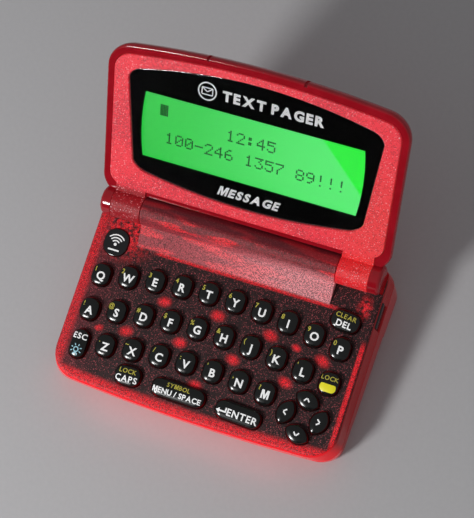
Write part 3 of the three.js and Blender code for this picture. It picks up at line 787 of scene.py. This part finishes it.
class Key:
    """One key: its outline and place in the deck's frame, and the height of its domed top."""

    def __init__(self, name, width=5.1, height=5.8, radius=2.1, turn=0.0, leaf=False, legends=()):
        self.name, self.leaf, self.legends = name, leaf, legends
        self.half = Vector((width / 2, height / 2))
        self.radius = radius
        self.turn = math.radians(turn)
        low, high = node_box(name, DECK)
        self.centre = ((low.x + high.x) / 2, (low.y + high.y) / 2)
        self.place = DECK @ Matrix.Translation((*self.centre, 0)) @ Matrix.Rotation(self.turn, 4, "Z")

    def outline(self, grow, steps=8):
        """The key's edge round its own middle, before its turn."""
        if self.leaf:
            return leaf_outline(self.half.x + grow, self.half.y + grow)
        return rounded_outline(
            self.half.x + grow,
            -self.half.y - grow,
            self.half.y + grow,
            max(self.radius + grow, 0.25),
            arc_steps=steps,
        )

    def inset_at(self, x, y):
        """How far a point lies inside the key's edge."""
        if self.leaf:
            reach = max(1 - (x / self.half.x) ** 2, 0) ** 0.75
            return self.half.y * reach - abs(y)
        qx = abs(x) - self.half.x + self.radius
        qy = abs(y) - self.half.y + self.radius
        outside = math.hypot(max(qx, 0), max(qy, 0))
        return self.radius - outside - min(max(qx, qy), 0)

    def top_at(self, x, y):
        return crown_height(self.inset_at(x, y))

    def cap(self):
        rings = [(FLANGE_GROW, FLANGE_BOTTOM), (FLANGE_GROW, FLANGE_TOP), (0, FLANGE_TOP + 0.02)]
        steps = 5
        insets = [EDGE_RADIUS * (1 - math.cos(i / steps * math.pi / 2)) for i in range(steps + 1)]
        deepest = min(self.half.x, self.half.y) * (0.75 if self.leaf else 0.9)
        insets += [EDGE_RADIUS + (deepest - EDGE_RADIUS) * i / 8 for i in range(1, 9)]
        rings += [(-inset, crown_height(inset)) for inset in insets]
        return loft([at_height(self.outline(grow), z) for grow, z in rings], self.place)


def crown_height(inset):
    """The height of a key's top: a small edge radius, then a pillow that levels off inwards."""
    inside = max(inset, 0)
    near_edge = max(EDGE_RADIUS - inside, 0)
    edge = math.sqrt(EDGE_RADIUS**2 - near_edge**2) - EDGE_RADIUS
    return KEY_TOP + edge - PILLOW_DROP * max(1 - inside / PILLOW_REACH, 0) ** 2.5


INK_LIFT = 0.012
INK_THICK = 0.012
GRID = 0.45


def text_bmesh(body, size, bold=0.0):
    """A flat text, centred on its width and on the height of its capitals."""
    curve = bpy.data.curves.new("text", "FONT")
    curve.body = body
    curve.size = size
    curve.offset = bold
    curve.resolution_u = 3
    curve.align_x = "CENTER"
    text = link(bpy.data.objects.new("text", curve))
    depsgraph = bpy.context.evaluated_depsgraph_get()
    mesh = bpy.data.meshes.new_from_object(text.evaluated_get(depsgraph))
    bm = bmesh.new()
    bm.from_mesh(mesh)
    bpy.data.objects.remove(text)
    bpy.data.curves.remove(curve)
    bpy.data.meshes.remove(mesh)
    xs = [v.co.x for v in bm.verts]
    middle = (min(xs) + max(xs)) / 2
    bmesh.ops.translate(bm, verts=bm.verts, vec=(-middle, -size * CAPITAL / 2, 0))
    return bm


def polygons_bmesh(*loops):
    bm = bmesh.new()
    for loop in loops:
        bm.faces.new([bm.verts.new((x, y, 0)) for x, y in loop])
    return bm


def gridded(bm):
    """Cuts flat faces along a square grid, so that they can follow a curved surface."""
    for axis in (0, 1):
        values = [v.co[axis] for v in bm.verts]
        first, last = math.ceil(min(values) / GRID), math.floor(max(values) / GRID)
        for i in range(first, last + 1):
            normal = Vector((1, 0, 0)) if axis == 0 else Vector((0, 1, 0))
            geometry = bm.verts[:] + bm.edges[:] + bm.faces[:]
            bmesh.ops.bisect_plane(bm, geom=geometry, plane_co=normal * (i * GRID), plane_no=normal)
    return bm


def print_on(bm, shift, height, place, material):
    """Ink with a thickness, from the flat bm moved by shift. The surface's height is a number, or for
    a curved one a function of x and y."""
    bmesh.ops.translate(bm, verts=bm.verts, vec=(shift[0], shift[1], 0))
    curved = callable(height)
    if curved:
        gridded(bm)
    bmesh.ops.remove_doubles(bm, verts=bm.verts, dist=0.002)
    bmesh.ops.recalc_face_normals(bm, faces=bm.faces)
    for face in bm.faces:
        if face.normal.z < 0:
            face.normal_flip()
    flat = bm.faces[:]
    raised = bmesh.ops.extrude_face_region(bm, geom=flat)
    upper = {v for v in raised["geom"] if isinstance(v, bmesh.types.BMVert)}
    for v in bm.verts:
        lift = INK_LIFT + (INK_THICK if v in upper else 0)
        v.co.z = (height(v.co.x, v.co.y) if curved else height) + lift
    return paint(solid(bm, place), material)


def arc_band(radius, width, start, end, centre=(0, 0), steps=10):
    """A curved stripe as one outline."""
    angles = [math.radians(start + (end - start) * i / steps) for i in range(steps + 1)]
    outer = [(radius + width / 2, a) for a in angles]
    inner = [(radius - width / 2, a) for a in reversed(angles)]
    return [(centre[0] + r * math.cos(a), centre[1] + r * math.sin(a)) for r, a in outer + inner]


def stroke(start, end, width):
    """A straight stripe from start to end."""
    a, b = Vector(start), Vector(end)
    side = (b - a).normalized().orthogonal() * width / 2
    return [(p.x, p.y) for p in (a + side, a - side, b - side, b + side)]


# The capital M, drawn from listed points: its narrow notches would close up in the thickened font.
WIDE_M = (
    (0, 0), (0.2, 0), (0.2, 0.62), (0.38, 0), (0.54, 0), (0.72, 0.62), (0.72, 0),
    (0.92, 0), (0.92, 1), (0.63, 1), (0.46, 0.42), (0.29, 1), (0, 1),
)
CAPITAL = 0.72


def word_bmesh(body, size, bold=0.0, shear=0.0, gap=0.12):
    """A flat word set letter by letter, centred like a single text."""
    word_mesh = bmesh.new()
    pen = 0.0
    for character in body:
        if character == " ":
            pen += size * 0.26
            continue
        if character == "M":
            tall = size * CAPITAL + 2 * bold
            letter = polygons_bmesh([(x * tall, (y - 0.5) * tall) for x, y in WIDE_M])
        else:
            letter = text_bmesh(character, size, bold)
        xs = [v.co.x for v in letter.verts]
        bmesh.ops.translate(letter, verts=letter.verts, vec=(pen - min(xs), 0, 0))
        pen += max(xs) - min(xs) + gap * size
        pour(word_mesh, letter)
    middle = (pen - gap * size) / 2
    for v in word_mesh.verts:
        v.co.x += shear * v.co.y - middle
    return word_mesh


WHITE_LETTER = {"size": 3.0, "bold": 0.085, "at": (0.3, -0.34), "ink": "white"}
SECOND_LETTER = {"size": 1.8, "bold": 0.03, "at": (-1.6, 1.18), "ink": "yellow"}


def text_legend(body, size, bold, at, ink, shear=0.0, gap=0.12):
    return lambda: (word_bmesh(body, size, bold, shear, gap), at, ink)


def letter_legends(letter, second):
    legends = [text_legend(letter, **WHITE_LETTER)]
    if second:
        legends.append(text_legend(second, **SECOND_LETTER))
    return legends


def bulb_legend():
    """A small lamp with rays."""
    ring = circle(0.78, 20)
    hole = circle(0.5, 20)
    loops = [[ring[i], ring[(i + 1) % 20], hole[(i + 1) % 20], hole[i]] for i in range(20)]
    for i in range(8):
        angle = math.radians(45 * i + 22.5)
        direction = Vector((math.cos(angle), math.sin(angle)))
        loops.append(stroke(direction * 1.05, direction * 1.6, 0.26))
    loops.append([(-0.35, -1.15), (0.35, -1.15), (0.35, -0.8), (-0.35, -0.8)])
    return polygons_bmesh(*loops), (0, -1.75), "blue"


def patch_legend():
    """The filled half-round mark on the lock key."""
    outline = rounded_outline(2.15, -1.15, 1.25, 1.1, arc_steps=6)
    square_top = [(x, min(y, 0.95)) for x, y in outline]
    return polygons_bmesh(square_top), (0.05, -1.15), "patch"


def return_arrow_legend():
    loops = [
        stroke((-1.0, -0.25), (1.1, -0.25), 0.42),
        stroke((0.95, -0.3), (0.95, 0.9), 0.42),
        [(-1.75, -0.25), (-0.75, -0.95), (-0.75, 0.45)],
    ]
    return polygons_bmesh(*loops), (-4.1, -0.35), "white"


def chevron_legend(angle):
    """An open arrowhead that points along angle, against the key's own turn."""

    def make():
        arms = [stroke((0.42, 0.06), (-0.42, 0.72), 0.36), stroke((0.42, -0.06), (-0.42, -0.72), 0.36)]
        return polygons_bmesh(*[turned(arm, angle, (0, 0)) for arm in arms]), (0, 0), "white"

    return make


ROWS = {
    "QWERTYUIOP": "1234567890",
    "ASDFGHJKL": "!@#$%&()'",
    "ZXCVBNM": ".~/:',?",
}


def word(body, size, at, ink="white", bold=0.05, gap=0.12):
    return text_legend(body, size, bold, at, ink, 0.0, gap)


def all_keys():
    keys = []
    for letters, seconds in ROWS.items():
        for letter, second in zip(letters, seconds):
            keys.append(Key(f"key_{letter}", legends=letter_legends(letter, second)))
    lock = [word("LOCK", 1.65, (0, 1.35), "yellow", 0.02), patch_legend]
    keys.append(Key("key_shift_lock", legends=lock))
    esc = [word("ESC", 2.2, (0, 2.0), "white", 0.05), bulb_legend]
    keys.append(Key("key_esc", 4.5, 7.7, 2.2, legends=esc))
    caps = [word("LOCK", 1.7, (0, 1.2), "yellow", 0.02), word("CAPS", 2.3, (0, -0.85))]
    keys.append(Key("key_caps", 7, 5, 2.1, 2, legends=caps))
    space = [word("SYMBOL", 1.6, (0, 1.25), "yellow", 0.02), word("MENU / SPACE", 2.0, (0, -0.7), gap=0.08)]
    keys.append(Key("key_menu_space", 14.8, 4.6, 2, legends=space))
    enter = [return_arrow_legend, word("ENTER", 2.6, (1.5, -0.3), "white", 0.06)]
    keys.append(Key("key_enter", 12.4, 4.6, 2, -2, legends=enter))
    delete = [word("CLEAR", 1.75, (0, 1.1), "yellow", 0.02), word("DEL", 2.3, (0.1, -0.95), "white", 0.06)]
    keys.append(Key("key_delete", 7.5, 5, 2.1, -5, legends=delete))
    for i, direction in enumerate(("right", "up", "left", "down")):
        turn = 72 + 90 * i
        pointing = math.radians(90 * i - turn)
        keys.append(
            Key(f"key_arrow_{direction}", 6.6, 4.4, 0, turn, True, [chevron_legend(pointing)])
        )
    return keys


def build_key(key):
    parts = [paint(key.cap(), M["key"])]
    for make in key.legends:
        bm, at, ink = make()
        parts.append(print_on(bm, at, key.top_at, key.place, M[ink]))
    finish_piece(join(*parts), f"cap_{key.name[4:]}", key.name, [key.name])


# ---- Base ------------------------------------------------------------------------------------
EDGE_ROUND = 1.0
EDGE_STEPS = 7
WALL_STEPS = 4
SEAM_CHAMFER = 0.14
FOOT_ROUND = 1.3
BAY_FRONT_Y = -8.55
BAY_BLOCK_HALF = 28.6
BAY_HALF = 27.1
cell_low, cell_high = box_mm("aa_battery")
CELL = {"radius": (cell_high.z - cell_low.z) / 2, "y": (cell_low.y + cell_high.y) / 2}
CELL["z"] = (cell_low.z + cell_high.z) / 2


def deck_ring(outline, depth):
    return [(x, y, deck_z(y, -depth)) for x, y in outline]


def wall_rings():
    """Rings from just above the seam, up the drafted wall and over the round edge, to the deck."""
    rings = [deck_ring(base_outline(SEAM, SEAM_CHAMFER), SEAM_DEPTH)]
    for i in range(WALL_STEPS + 1):
        share = i / WALL_STEPS
        depth = SEAM_DEPTH - SEAM_CHAMFER + (EDGE_ROUND - SEAM_DEPTH + SEAM_CHAMFER) * share
        rings.append(deck_ring(base_outline(between(SEAM, DECK_EDGE, share)), depth))
    for i in range(1, EDGE_STEPS + 1):
        angle = i / EDGE_STEPS * math.pi / 2
        inset = EDGE_ROUND * (1 - math.cos(angle))
        rings.append(deck_ring(base_outline(DECK_EDGE, inset), EDGE_ROUND * (1 - math.sin(angle))))
    return rings


def cell_room():
    return bar(CELL["radius"] + 0.25, -BAY_HALF, BAY_HALF, (CELL["y"], CELL["z"]))


def bay_block():
    return box((-BAY_BLOCK_HALF, BAY_FRONT_Y, -FAR), (BAY_BLOCK_HALF, FAR, FAR))


def hump():
    """The ramp and the barrel, as one profile along the hinge."""
    half_chord = math.sqrt(BARREL_R**2 - (HINGE_H - RAMP_TOP_H) ** 2)
    start = math.atan2(RAMP_TOP_H - HINGE_H, -half_chord)
    steps = 40
    sweep = math.radians(-240)
    arc = []
    for i in range(steps + 1):
        angle = start + sweep * i / steps
        arc.append((HINGE_V + BARREL_R * math.cos(angle), HINGE_H + BARREL_R * math.sin(angle)))
    profile = [(RAMP_FOOT_V, -DECK_THICK), (RAMP_FOOT_V, 0), *arc, (arc[-1][0] - 1, -DECK_THICK)]
    return profile_x(profile[::-1], -BARREL_HALF, BARREL_HALF, DECK)


def key_well(key):
    """A cutter for the key's hole, flared at the deck's surface."""
    steps = [(KEY_CLEAR, -DECK_THICK - PAST), (KEY_CLEAR, -0.3), (KEY_CLEAR + 0.05, -0.14)]
    steps += [(KEY_CLEAR + 0.2, 0), (KEY_CLEAR + 0.2, 3)]
    return loft([at_height(key.outline(grow), z) for grow, z in steps], key.place)


BADGE = {"width": 7, "height": 7.6, "radius": 3.2}
badge_low, badge_high = node_box("emblem_badge", DECK)
badge_middle = (badge_low + badge_high) / 2
BADGE_PLACE = DECK @ Matrix.Translation((badge_middle.x, badge_middle.y, 0))


def badge_outline(grow):
    return rounded_outline(
        BADGE["width"] / 2 + grow,
        -BADGE["height"] / 2 - grow,
        BADGE["height"] / 2 + grow,
        BADGE["radius"] + grow,
    )


port_low, port_high = box_mm("side_port_insert")
PORT_TOP, PORT_BOTTOM = -0.7, -4.1


def port_cutter(grow):
    """The slot in the right wall, between two planes parallel to the deck."""
    top, bottom = PORT_TOP + grow, PORT_BOTTOM - grow
    low, high = port_low.y - grow, port_high.y + grow
    corners = [(low, bottom), (high, bottom), (high, top), (low, top)]
    points = [(y, deck_z(y, offset)) for y, offset in corners]
    return profile_x(points, port_low.x - GAP, SEAM[0] + PAST)


def build_upper_case(keys):
    shell = loft(wall_rings())
    inside = base_outline(ROOM)
    room = loft([deck_ring(inside, SEAM_DEPTH + PAST), deck_ring(inside, DECK_THICK)])
    cut(room, bay_block())
    cut(shell, room)
    walls = []
    rooms = []
    for side in (-1, 1):
        x0, x1 = span(side, KNUCKLE_IN - 0.2, CAP_OUT + 0.4)
        wall = bar(RECESS_R + 1.1, x0, x1, hinge.yz)
        limits = [
            (HINGE_V - 12, -SEAM_DEPTH), (FAR, -SEAM_DEPTH), (FAR, -0.37), (HINGE_V - 12, -0.37),
        ]
        keep(wall, profile_x(limits, -FAR, FAR, DECK), plate(base_outline(DECK_EDGE, 0.43), -FAR, FAR))
        walls.append(wall)
        rooms.append(bar(RECESS_R, x0, x1, hinge.yz, steps=64))
    add(shell, hump(), *walls)
    cut(shell, *rooms, cell_room())
    for key in keys:
        cut(shell, key_well(key))
    cut(shell, plate(badge_outline(0.15), -DECK_THICK - PAST, 3, BADGE_PLACE), port_cutter(0.1))
    paint(shell, M["deck"])
    finish_piece(shell, "deck_shell", "base", ["upper_case"])


def underside_cut():
    """What is cut away under the base: the long slope, the step and the flat of the battery bay."""
    points = [(FRONT_FOOT_Y, 0), (FRONT_FOOT_Y, -FAR), (BULGE_FOOT_Y, -FAR), (BULGE_FOOT_Y, 0)]
    return profile_x([*points, (BULGE_START_Y, BULGE_STEP)], -FAR, FAR)


DOOR_LIP = 0.75
DOOR_FLOOR = 1.1


def door_room(grow):
    low, high = box_mm("battery_door")
    floor = box((low.x - grow, low.y - grow, -PAST), (high.x + grow, FAR, DOOR_FLOOR + grow))
    rear = box((low.x - grow, BASE_REAR - DOOR_LIP - grow, -PAST), (high.x + grow, FAR, high.z + grow))
    return add(floor, rear)


def base_hull():
    """The whole outside of the lower case and door, up to the seam."""
    steps = 6
    rings = []
    for i in range(steps + 1):
        angle = i / steps * math.pi / 2
        outline = base_outline(between(FOOT, FLARE, math.sin(angle)))
        rings.append(at_height(outline, FOOT_ROUND * (1 - math.cos(angle))))
    rings.append(deck_ring(base_outline(SEAM), SEAM_DEPTH + SEAM_GAP + SEAM_CHAMFER))
    rings.append(deck_ring(base_outline(SEAM, SEAM_CHAMFER), SEAM_DEPTH + SEAM_GAP))
    return cut(loft(rings), underside_cut())


SCREW_HOLE = 2.2
SCREW_HOLE_TOP = 2


def build_lower_case():
    hull = base_hull()
    inside = base_outline(ROOM)
    room = loft([at_height(inside, FLOOR_THICK), deck_ring(inside, SEAM_DEPTH - PAST)])
    slope = [
        (-FAR, FLOOR_THICK), (FRONT_FOOT_Y, FLOOR_THICK), (BULGE_START_Y, BULGE_STEP + FLOOR_THICK),
        (BULGE_FOOT_Y, FLOOR_THICK), (FAR, FLOOR_THICK), (FAR, FAR), (-FAR, FAR),
    ]
    keep(room, profile_x(slope, -FAR, FAR))
    cut(room, bay_block())
    opening = box((-BAY_HALF, -5, 0.5), (BAY_HALF, 4.6, 5.35))
    cut(hull, room, cell_room(), opening, door_room(0.12))
    screw_low, screw_high = box_mm("case_screw")
    middle = (screw_low + screw_high) / 2
    cut(hull, cylinder_z(SCREW_HOLE, middle.x, middle.y, -PAST, SCREW_HOLE_TOP))
    paint(hull, M["case"])
    finish_piece(hull, "lower_shell", "base", ["lower_case"])


GRIP = {"count": 5, "first": 1.2, "pitch": 0.9, "half": 7, "width": 0.4, "depth": 0.3}


def build_door():
    door = keep(base_hull(), door_room(0))
    cut(door, cell_room())
    for i in range(GRIP["count"]):
        y = GRIP["first"] + i * GRIP["pitch"]
        cut(door, box((-GRIP["half"], y, -PAST), (GRIP["half"], y + GRIP["width"], GRIP["depth"])))
    paint(door, M["case"])
    finish_piece(door, "bay_door", "door", ["battery_door"])


def build_badge():
    rings = [(0, -1.3), (0, 0.1), (-0.12, 0.42), (-0.45, 0.6)]
    body = paint(loft([at_height(badge_outline(g), z) for g, z in rings], BADGE_PLACE), M["black"])
    loops = [arc_band(r, 0.34, 40, 140, (0, -0.9)) for r in (1.2, 2.0, 2.8)]
    loops.append(circle(0.42, 14, (0, -0.75)))
    loops.append(stroke((-1.6, -2.3), (1.6, -2.3), 0.42))
    icon = print_on(polygons_bmesh(*loops), (0, 0.1), 0.6, BADGE_PLACE, M["white"])
    finish_piece(join(body, icon), "signal_badge", "base", ["emblem_badge"])


def build_port():
    face = Vector(between((SEAM[0], 0, 0), (HALF_WIDTH, 0, 0), 0.55))
    insert = keep(port_cutter(0), box((port_low.x, -FAR, -FAR), (face.x, FAR, FAR)))
    paint(insert, M["black"])
    finish_piece(insert, "port_insert", "base", ["side_port_insert"])


# ---- Lid -------------------------------------------------------------------------------------
BACK_RINGS = (
    (16, -8.2), (11, -8.0), (8, -7.6), (5.4, -6.95), (3.2, -6.0), (1.9, -4.95), (0.9, -3.6),
    (0.45, -2.75), (0.2, -2.0), (0.05, -1.4), (0, -0.9), (0.03, -0.5), (0.14, -0.15), (0.32, 0.03),
    (0.55, LID_RIM_H),
)
ROOM_RINGS = ((16, -7), (9, -6.4), (5, -5), (2.6, -3.2), (2, -1.6), (2, 1))
NOTCH_X = (-13.2, 12.6)


def lid_bar(radius, side, inner, outer, **options):
    return bar(radius, *span(side, inner, outer), place=LID, **options)


def build_lid_back():
    shell = loft([at_height(lid_outline(inset), h) for inset, h in BACK_RINGS], LID)
    bottom = LID_CUTOUT - GAP - 2
    room = loft([at_height(lid_outline(inset, bottom + inset), h) for inset, h in ROOM_RINGS], LID)
    cut(shell, room, bar(BARREL_R + 0.45, -28.1, 28.1, place=LID, steps=64))
    for side in (-1, 1):
        add(shell, lid_bar(BARREL_R, side, CAP_IN, CAP_OUT, round_end=1.1, steps=64))
        cut(shell, lid_bar(BARREL_R + 0.2, side, 22, CAP_IN - 0.01, steps=64))
        x0, x1 = span(side, KNUCKLE_IN - GAP, CAP_IN - 0.01)
        cut(shell, box((x0, -5, BEZEL_H - BEZEL_THICK - 0.2), (x1, 7.7, 1), LID))
    cut(shell, box((-26.6, -5, -1.95), (-11.4, 9.1, -1), LID))
    for x in NOTCH_X:
        cut(shell, box((x - 0.4, LID_TOP - 1.2, -3.2), (x + 0.4, LID_TOP + 1, 1), LID))
    paint(shell, M["rim"])
    finish_piece(shell, "lid_back", "lid", ["lid_back_shell"])


# A bore for each hinge pin, and the least step that keeps two joined faces from coinciding.
PIN_BORE = 1.7
SKIN = 0.03


def build_bezel():
    rings = []
    steps = 4
    round_edge = 0.3
    for i in range(steps + 1):
        angle = i / steps * math.pi / 2
        inset = BEZEL_INSET - 0.15 + round_edge * (1 - math.cos(angle))
        height = BEZEL_H - round_edge * (1 - math.sin(angle))
        rings.append(at_height(lid_outline(inset, LID_CUTOUT + inset - BEZEL_INSET), height))
    base = at_height(lid_outline(BEZEL_INSET - 0.15, LID_CUTOUT - 0.15), BEZEL_H - BEZEL_THICK)
    face = loft([base, *rings], LID)
    for side in (-1, 1):
        x0, x1 = span(side, KNUCKLE_IN, KNUCKLE_OUT)
        knuckle = bar(BARREL_R, x0, x1, place=LID, steps=64)
        low = (x0 + SKIN, 0, BEZEL_H - BEZEL_THICK + SKIN)
        neck = box(low, (x1 - SKIN, 8.5, BEZEL_H - SKIN), LID)
        add(face, add(knuckle, neck))
        cut(face, lid_bar(PIN_BORE, side, KNUCKLE_IN - PAST, KNUCKLE_OUT - SKIN))
    hole = [(0.12, -5), (0.12, 0.25), (0.17, 0.4), (0.32, BEZEL_H + 0.01), (0.32, 2)]
    cut(face, loft([at_height(lens_outline(grow), z) for grow, z in hole], LID))
    paint(face, M["bezel"])
    finish_piece(face, "lid_bezel_face", "lid", ["lid_bezel"])


PRINT_H = -0.42
LENS_BACK = -0.8
SCREEN_H = -1.3


def build_lens():
    """A clear pane over a printed mask with a window, and the marks on the mask."""
    pane = [(0, PRINT_H + 0.06), (0, LENS_FACE - 0.12), (-0.06, LENS_FACE - 0.03), (-0.16, LENS_FACE)]
    glass = paint(loft([at_height(lens_outline(g), z) for g, z in pane], LID), M["glass"])
    finish_piece(glass, "lens_pane", "lid")
    mask = plate(lens_outline(), LENS_BACK, PRINT_H, LID)
    cut(mask, plate(window_outline(), -5, 5, LID))
    paint(mask, M["mask"])
    drawings = (
        (word_bmesh("TEXT PAGER", 3.7, 0.19, gap=0.13), (4.9, 39.9)),
        (word_bmesh("MESSAGE", 3.4, 0.16, 0.3, 0.12), (1.0, 12.6)),
        (logo_bmesh(), (-12.8, 39.9)),
    )
    marks = [print_on(bm, at, PRINT_H, LID, M["white"]) for bm, at in drawings]
    finish_piece(join(mask, *marks), "lens_mask", "lid", ["display_lens"])


def logo_bmesh():
    """A plain envelope in a ring."""
    steps = 40
    outer, inner = circle(2.6, steps), circle(2.2, steps)
    loops = [[outer[i], outer[(i + 1) % steps], inner[(i + 1) % steps], inner[i]] for i in range(steps)]
    half, tall, width = 1.45, 0.95, 0.3
    corners = [(-half, -tall), (half, -tall), (half, tall), (-half, tall)]
    loops += [stroke(corners[i], corners[(i + 1) % 4], width) for i in range(4)]
    loops += [stroke((-half, tall), (0, -0.15), width), stroke((half, tall), (0, -0.15), width)]
    return polygons_bmesh(*loops)


# Five-by-seven dot patterns, top row first.
DIGITS = {
    "0": ".###. #...# #..## #.#.# ##..# #...# .###.",
    "1": "..#.. .##.. ..#.. ..#.. ..#.. ..#.. .###.",
    "2": ".###. #...# ....# ...#. ..#.. .#... #####",
    "3": "##### ...#. ..#.. ...#. ....# #...# .###.",
    "4": "...#. ..##. .#.#. #..#. ##### ...#. ...#.",
    "5": "##### #.... ####. ....# ....# #...# .###.",
    "6": "..##. .#... #.... ####. #...# #...# .###.",
    "7": "##### ....# ...#. ..#.. .#... .#... .#...",
    "8": ".###. #...# #...# .###. #...# #...# .###.",
    "9": ".###. #...# #...# .#### ....# ...#. .##..",
    ":": "..... .##.. .##.. ..... .##.. .##.. .....",
    "-": "..... ..... ..... ##### ..... ..... .....",
    "!": "..#.. ..#.. ..#.. ..#.. ..... ..... ..#..",
    "#": "##### ##### ##### ##### ##### ##### #####",
    " ": "..... ..... ..... ..... ..... ..... .....",
}
DOT_PITCH = 0.46
DOT = 0.4
CHARACTER_PITCH = 2.78
LINES = (("#", -25.6, 32.3), ("12:45", -7.0, 30.2), ("100-246 1357 89!!!", -23.7, 24.6))


def dot_loops():
    loops = []
    for text, left, top in LINES:
        start = left if left is not None else -CHARACTER_PITCH * len(text) / 2
        for n, character in enumerate(text):
            for row, pattern in enumerate(DIGITS[character].split()):
                for column, state in enumerate(pattern):
                    if state == "#":
                        x = start + n * CHARACTER_PITCH + column * DOT_PITCH
                        y = top - row * DOT_PITCH
                        loops.append([(x, y - DOT), (x + DOT, y - DOT), (x + DOT, y), (x, y)])
    return loops


def build_screen():
    low, high = node_box("lcd_panel", LID)
    corners = [(low.x, low.y), (high.x, low.y), (high.x, high.y), (low.x, high.y)]
    panel = paint(plate(corners, low.z, SCREEN_H, LID), M["lcd"])
    dots = print_on(polygons_bmesh(*dot_loops()), (0, 0), SCREEN_H, LID, M["dot"])
    finish_piece(join(panel, dots), "lcd_screen", "lid", ["lcd_panel"])


# ---- Pieces that stay as the frame has them ------------------------------------------------------
KEPT = {
    "main_board": "board", "keypad_mat": "mat", "rf_shield": "steel", "sounder": "black",
    "antenna": "copper", "vibration_motor": "steel", "vibration_weight": "steel",
    "hinge_pin_left": "steel", "hinge_pin_right": "steel", "case_screw": "steel",
    "aa_battery": "wrap", "battery_spring": "steel", "positive_contact": "copper",
    "lcd_backlight": "guide", "lid_flex_cable": "flex",
}
for node_name, look_name in KEPT.items():
    paint(frame["nodes"][node_name], M[look_name])


# ---- Light, floor and camera -------------------------------------------------------------------
def build_floor():
    bm = bmesh.new()
    bmesh.ops.create_circle(bm, cap_ends=True, segments=96, radius=6)
    mesh = bpy.data.meshes.new("floor")
    bm.to_mesh(mesh)
    bm.free()
    floor = link(bpy.data.objects.new("floor", mesh))
    floor.location.z = -0.00002
    look = Look("floor_paper")
    tone = look.mix(look.noise(1.2, 3.0), (0.55, 0.545, 0.555), (0.595, 0.59, 0.60))
    look.set(Base_Color=tone, Roughness=0.9)
    paint(floor, look.material)


def aim(obj, target):
    obj.rotation_euler = (Vector(target) - obj.location).to_track_quat("-Z", "Y").to_euler()


def area_light(name, direction, distance, size, power, colour=(1, 1, 1), target=(0, -0.015, 0.01)):
    light = bpy.data.lights.new(name, "AREA")
    light.shape = "RECTANGLE"
    light.size, light.size_y = size
    light.energy = power
    light.color = colour
    obj = link(bpy.data.objects.new(name, light))
    obj.location = Vector(target) + Vector(direction).normalized() * distance
    aim(obj, target)
    return obj


def build_world():
    """A dim even room, darker low down in front of the pager, where the display would mirror it."""
    world = bpy.data.worlds.new("room")
    world.use_nodes = True
    bpy.context.scene.world = world
    tree = world.node_tree
    background = tree.nodes["Background"]
    coordinates = tree.nodes.new("ShaderNodeTexCoord")
    dot = tree.nodes.new("ShaderNodeVectorMath")
    dot.operation = "DOT_PRODUCT"
    tree.links.new(coordinates.outputs["Generated"], dot.inputs[0])
    dot.inputs[1].default_value = Vector((-0.27, -0.93, 0.22)).normalized()
    fade = tree.nodes.new("ShaderNodeMapRange")
    fade.interpolation_type = "SMOOTHSTEP"
    wide, narrow = (math.cos(math.radians(angle)) for angle in (38, 20))
    for socket, value in zip(fade.inputs[1:], (wide, narrow, 0.24, 0.006)):
        socket.default_value = value
    tree.links.new(dot.outputs["Value"], fade.inputs[0])
    tree.links.new(fade.outputs[0], background.inputs["Strength"])
    background.inputs["Color"].default_value = (0.98, 0.98, 1.0, 1)


def build_camera():
    azimuth, elevation, roll = (math.radians(a) for a in (47.675, 68.438, -28.763))
    back = Vector((
        math.sin(azimuth) * math.cos(elevation),
        -math.cos(azimuth) * math.cos(elevation),
        math.sin(elevation),
    ))
    right = (-back).cross(Vector((0, 0, 1))).normalized()
    up = right.cross(-back)
    x_axis = right * math.cos(roll) + up * math.sin(roll)
    y_axis = up * math.cos(roll) - right * math.sin(roll)
    camera = bpy.data.cameras.new("camera")
    camera.sensor_fit = "AUTO"
    camera.sensor_width = 36
    camera.lens = 103.99
    camera.clip_start = 0.01
    obj = link(bpy.data.objects.new("camera", camera))
    turn = Matrix((x_axis, y_axis, back)).transposed().to_4x4()
    obj.matrix_world = Matrix.Translation(Vector((107.257, -99.730, 381.778)) * MM) @ turn
    bpy.context.scene.camera = obj


build_camera()
build_world()
build_floor()
area_light("key_light", (-0.45, -0.68, 0.575), 0.6, (0.12, 0.10), 2.2)
# Light that has passed through the red plastic falls on the table along the front.
area_light("red_spill", (0, -0.5, 1), 0.005, (0.056, 0.003), 0.00022, (1, 0.2, 0.25), (0, -0.0485, 0.001))
bpy.context.scene.view_settings.view_transform = "Standard"

keys = all_keys()
build_upper_case(keys)
build_lower_case()
build_door()
build_badge()
build_port()
for key in keys:
    build_key(key)
build_lid_back()
build_bezel()
build_lens()
build_screen()
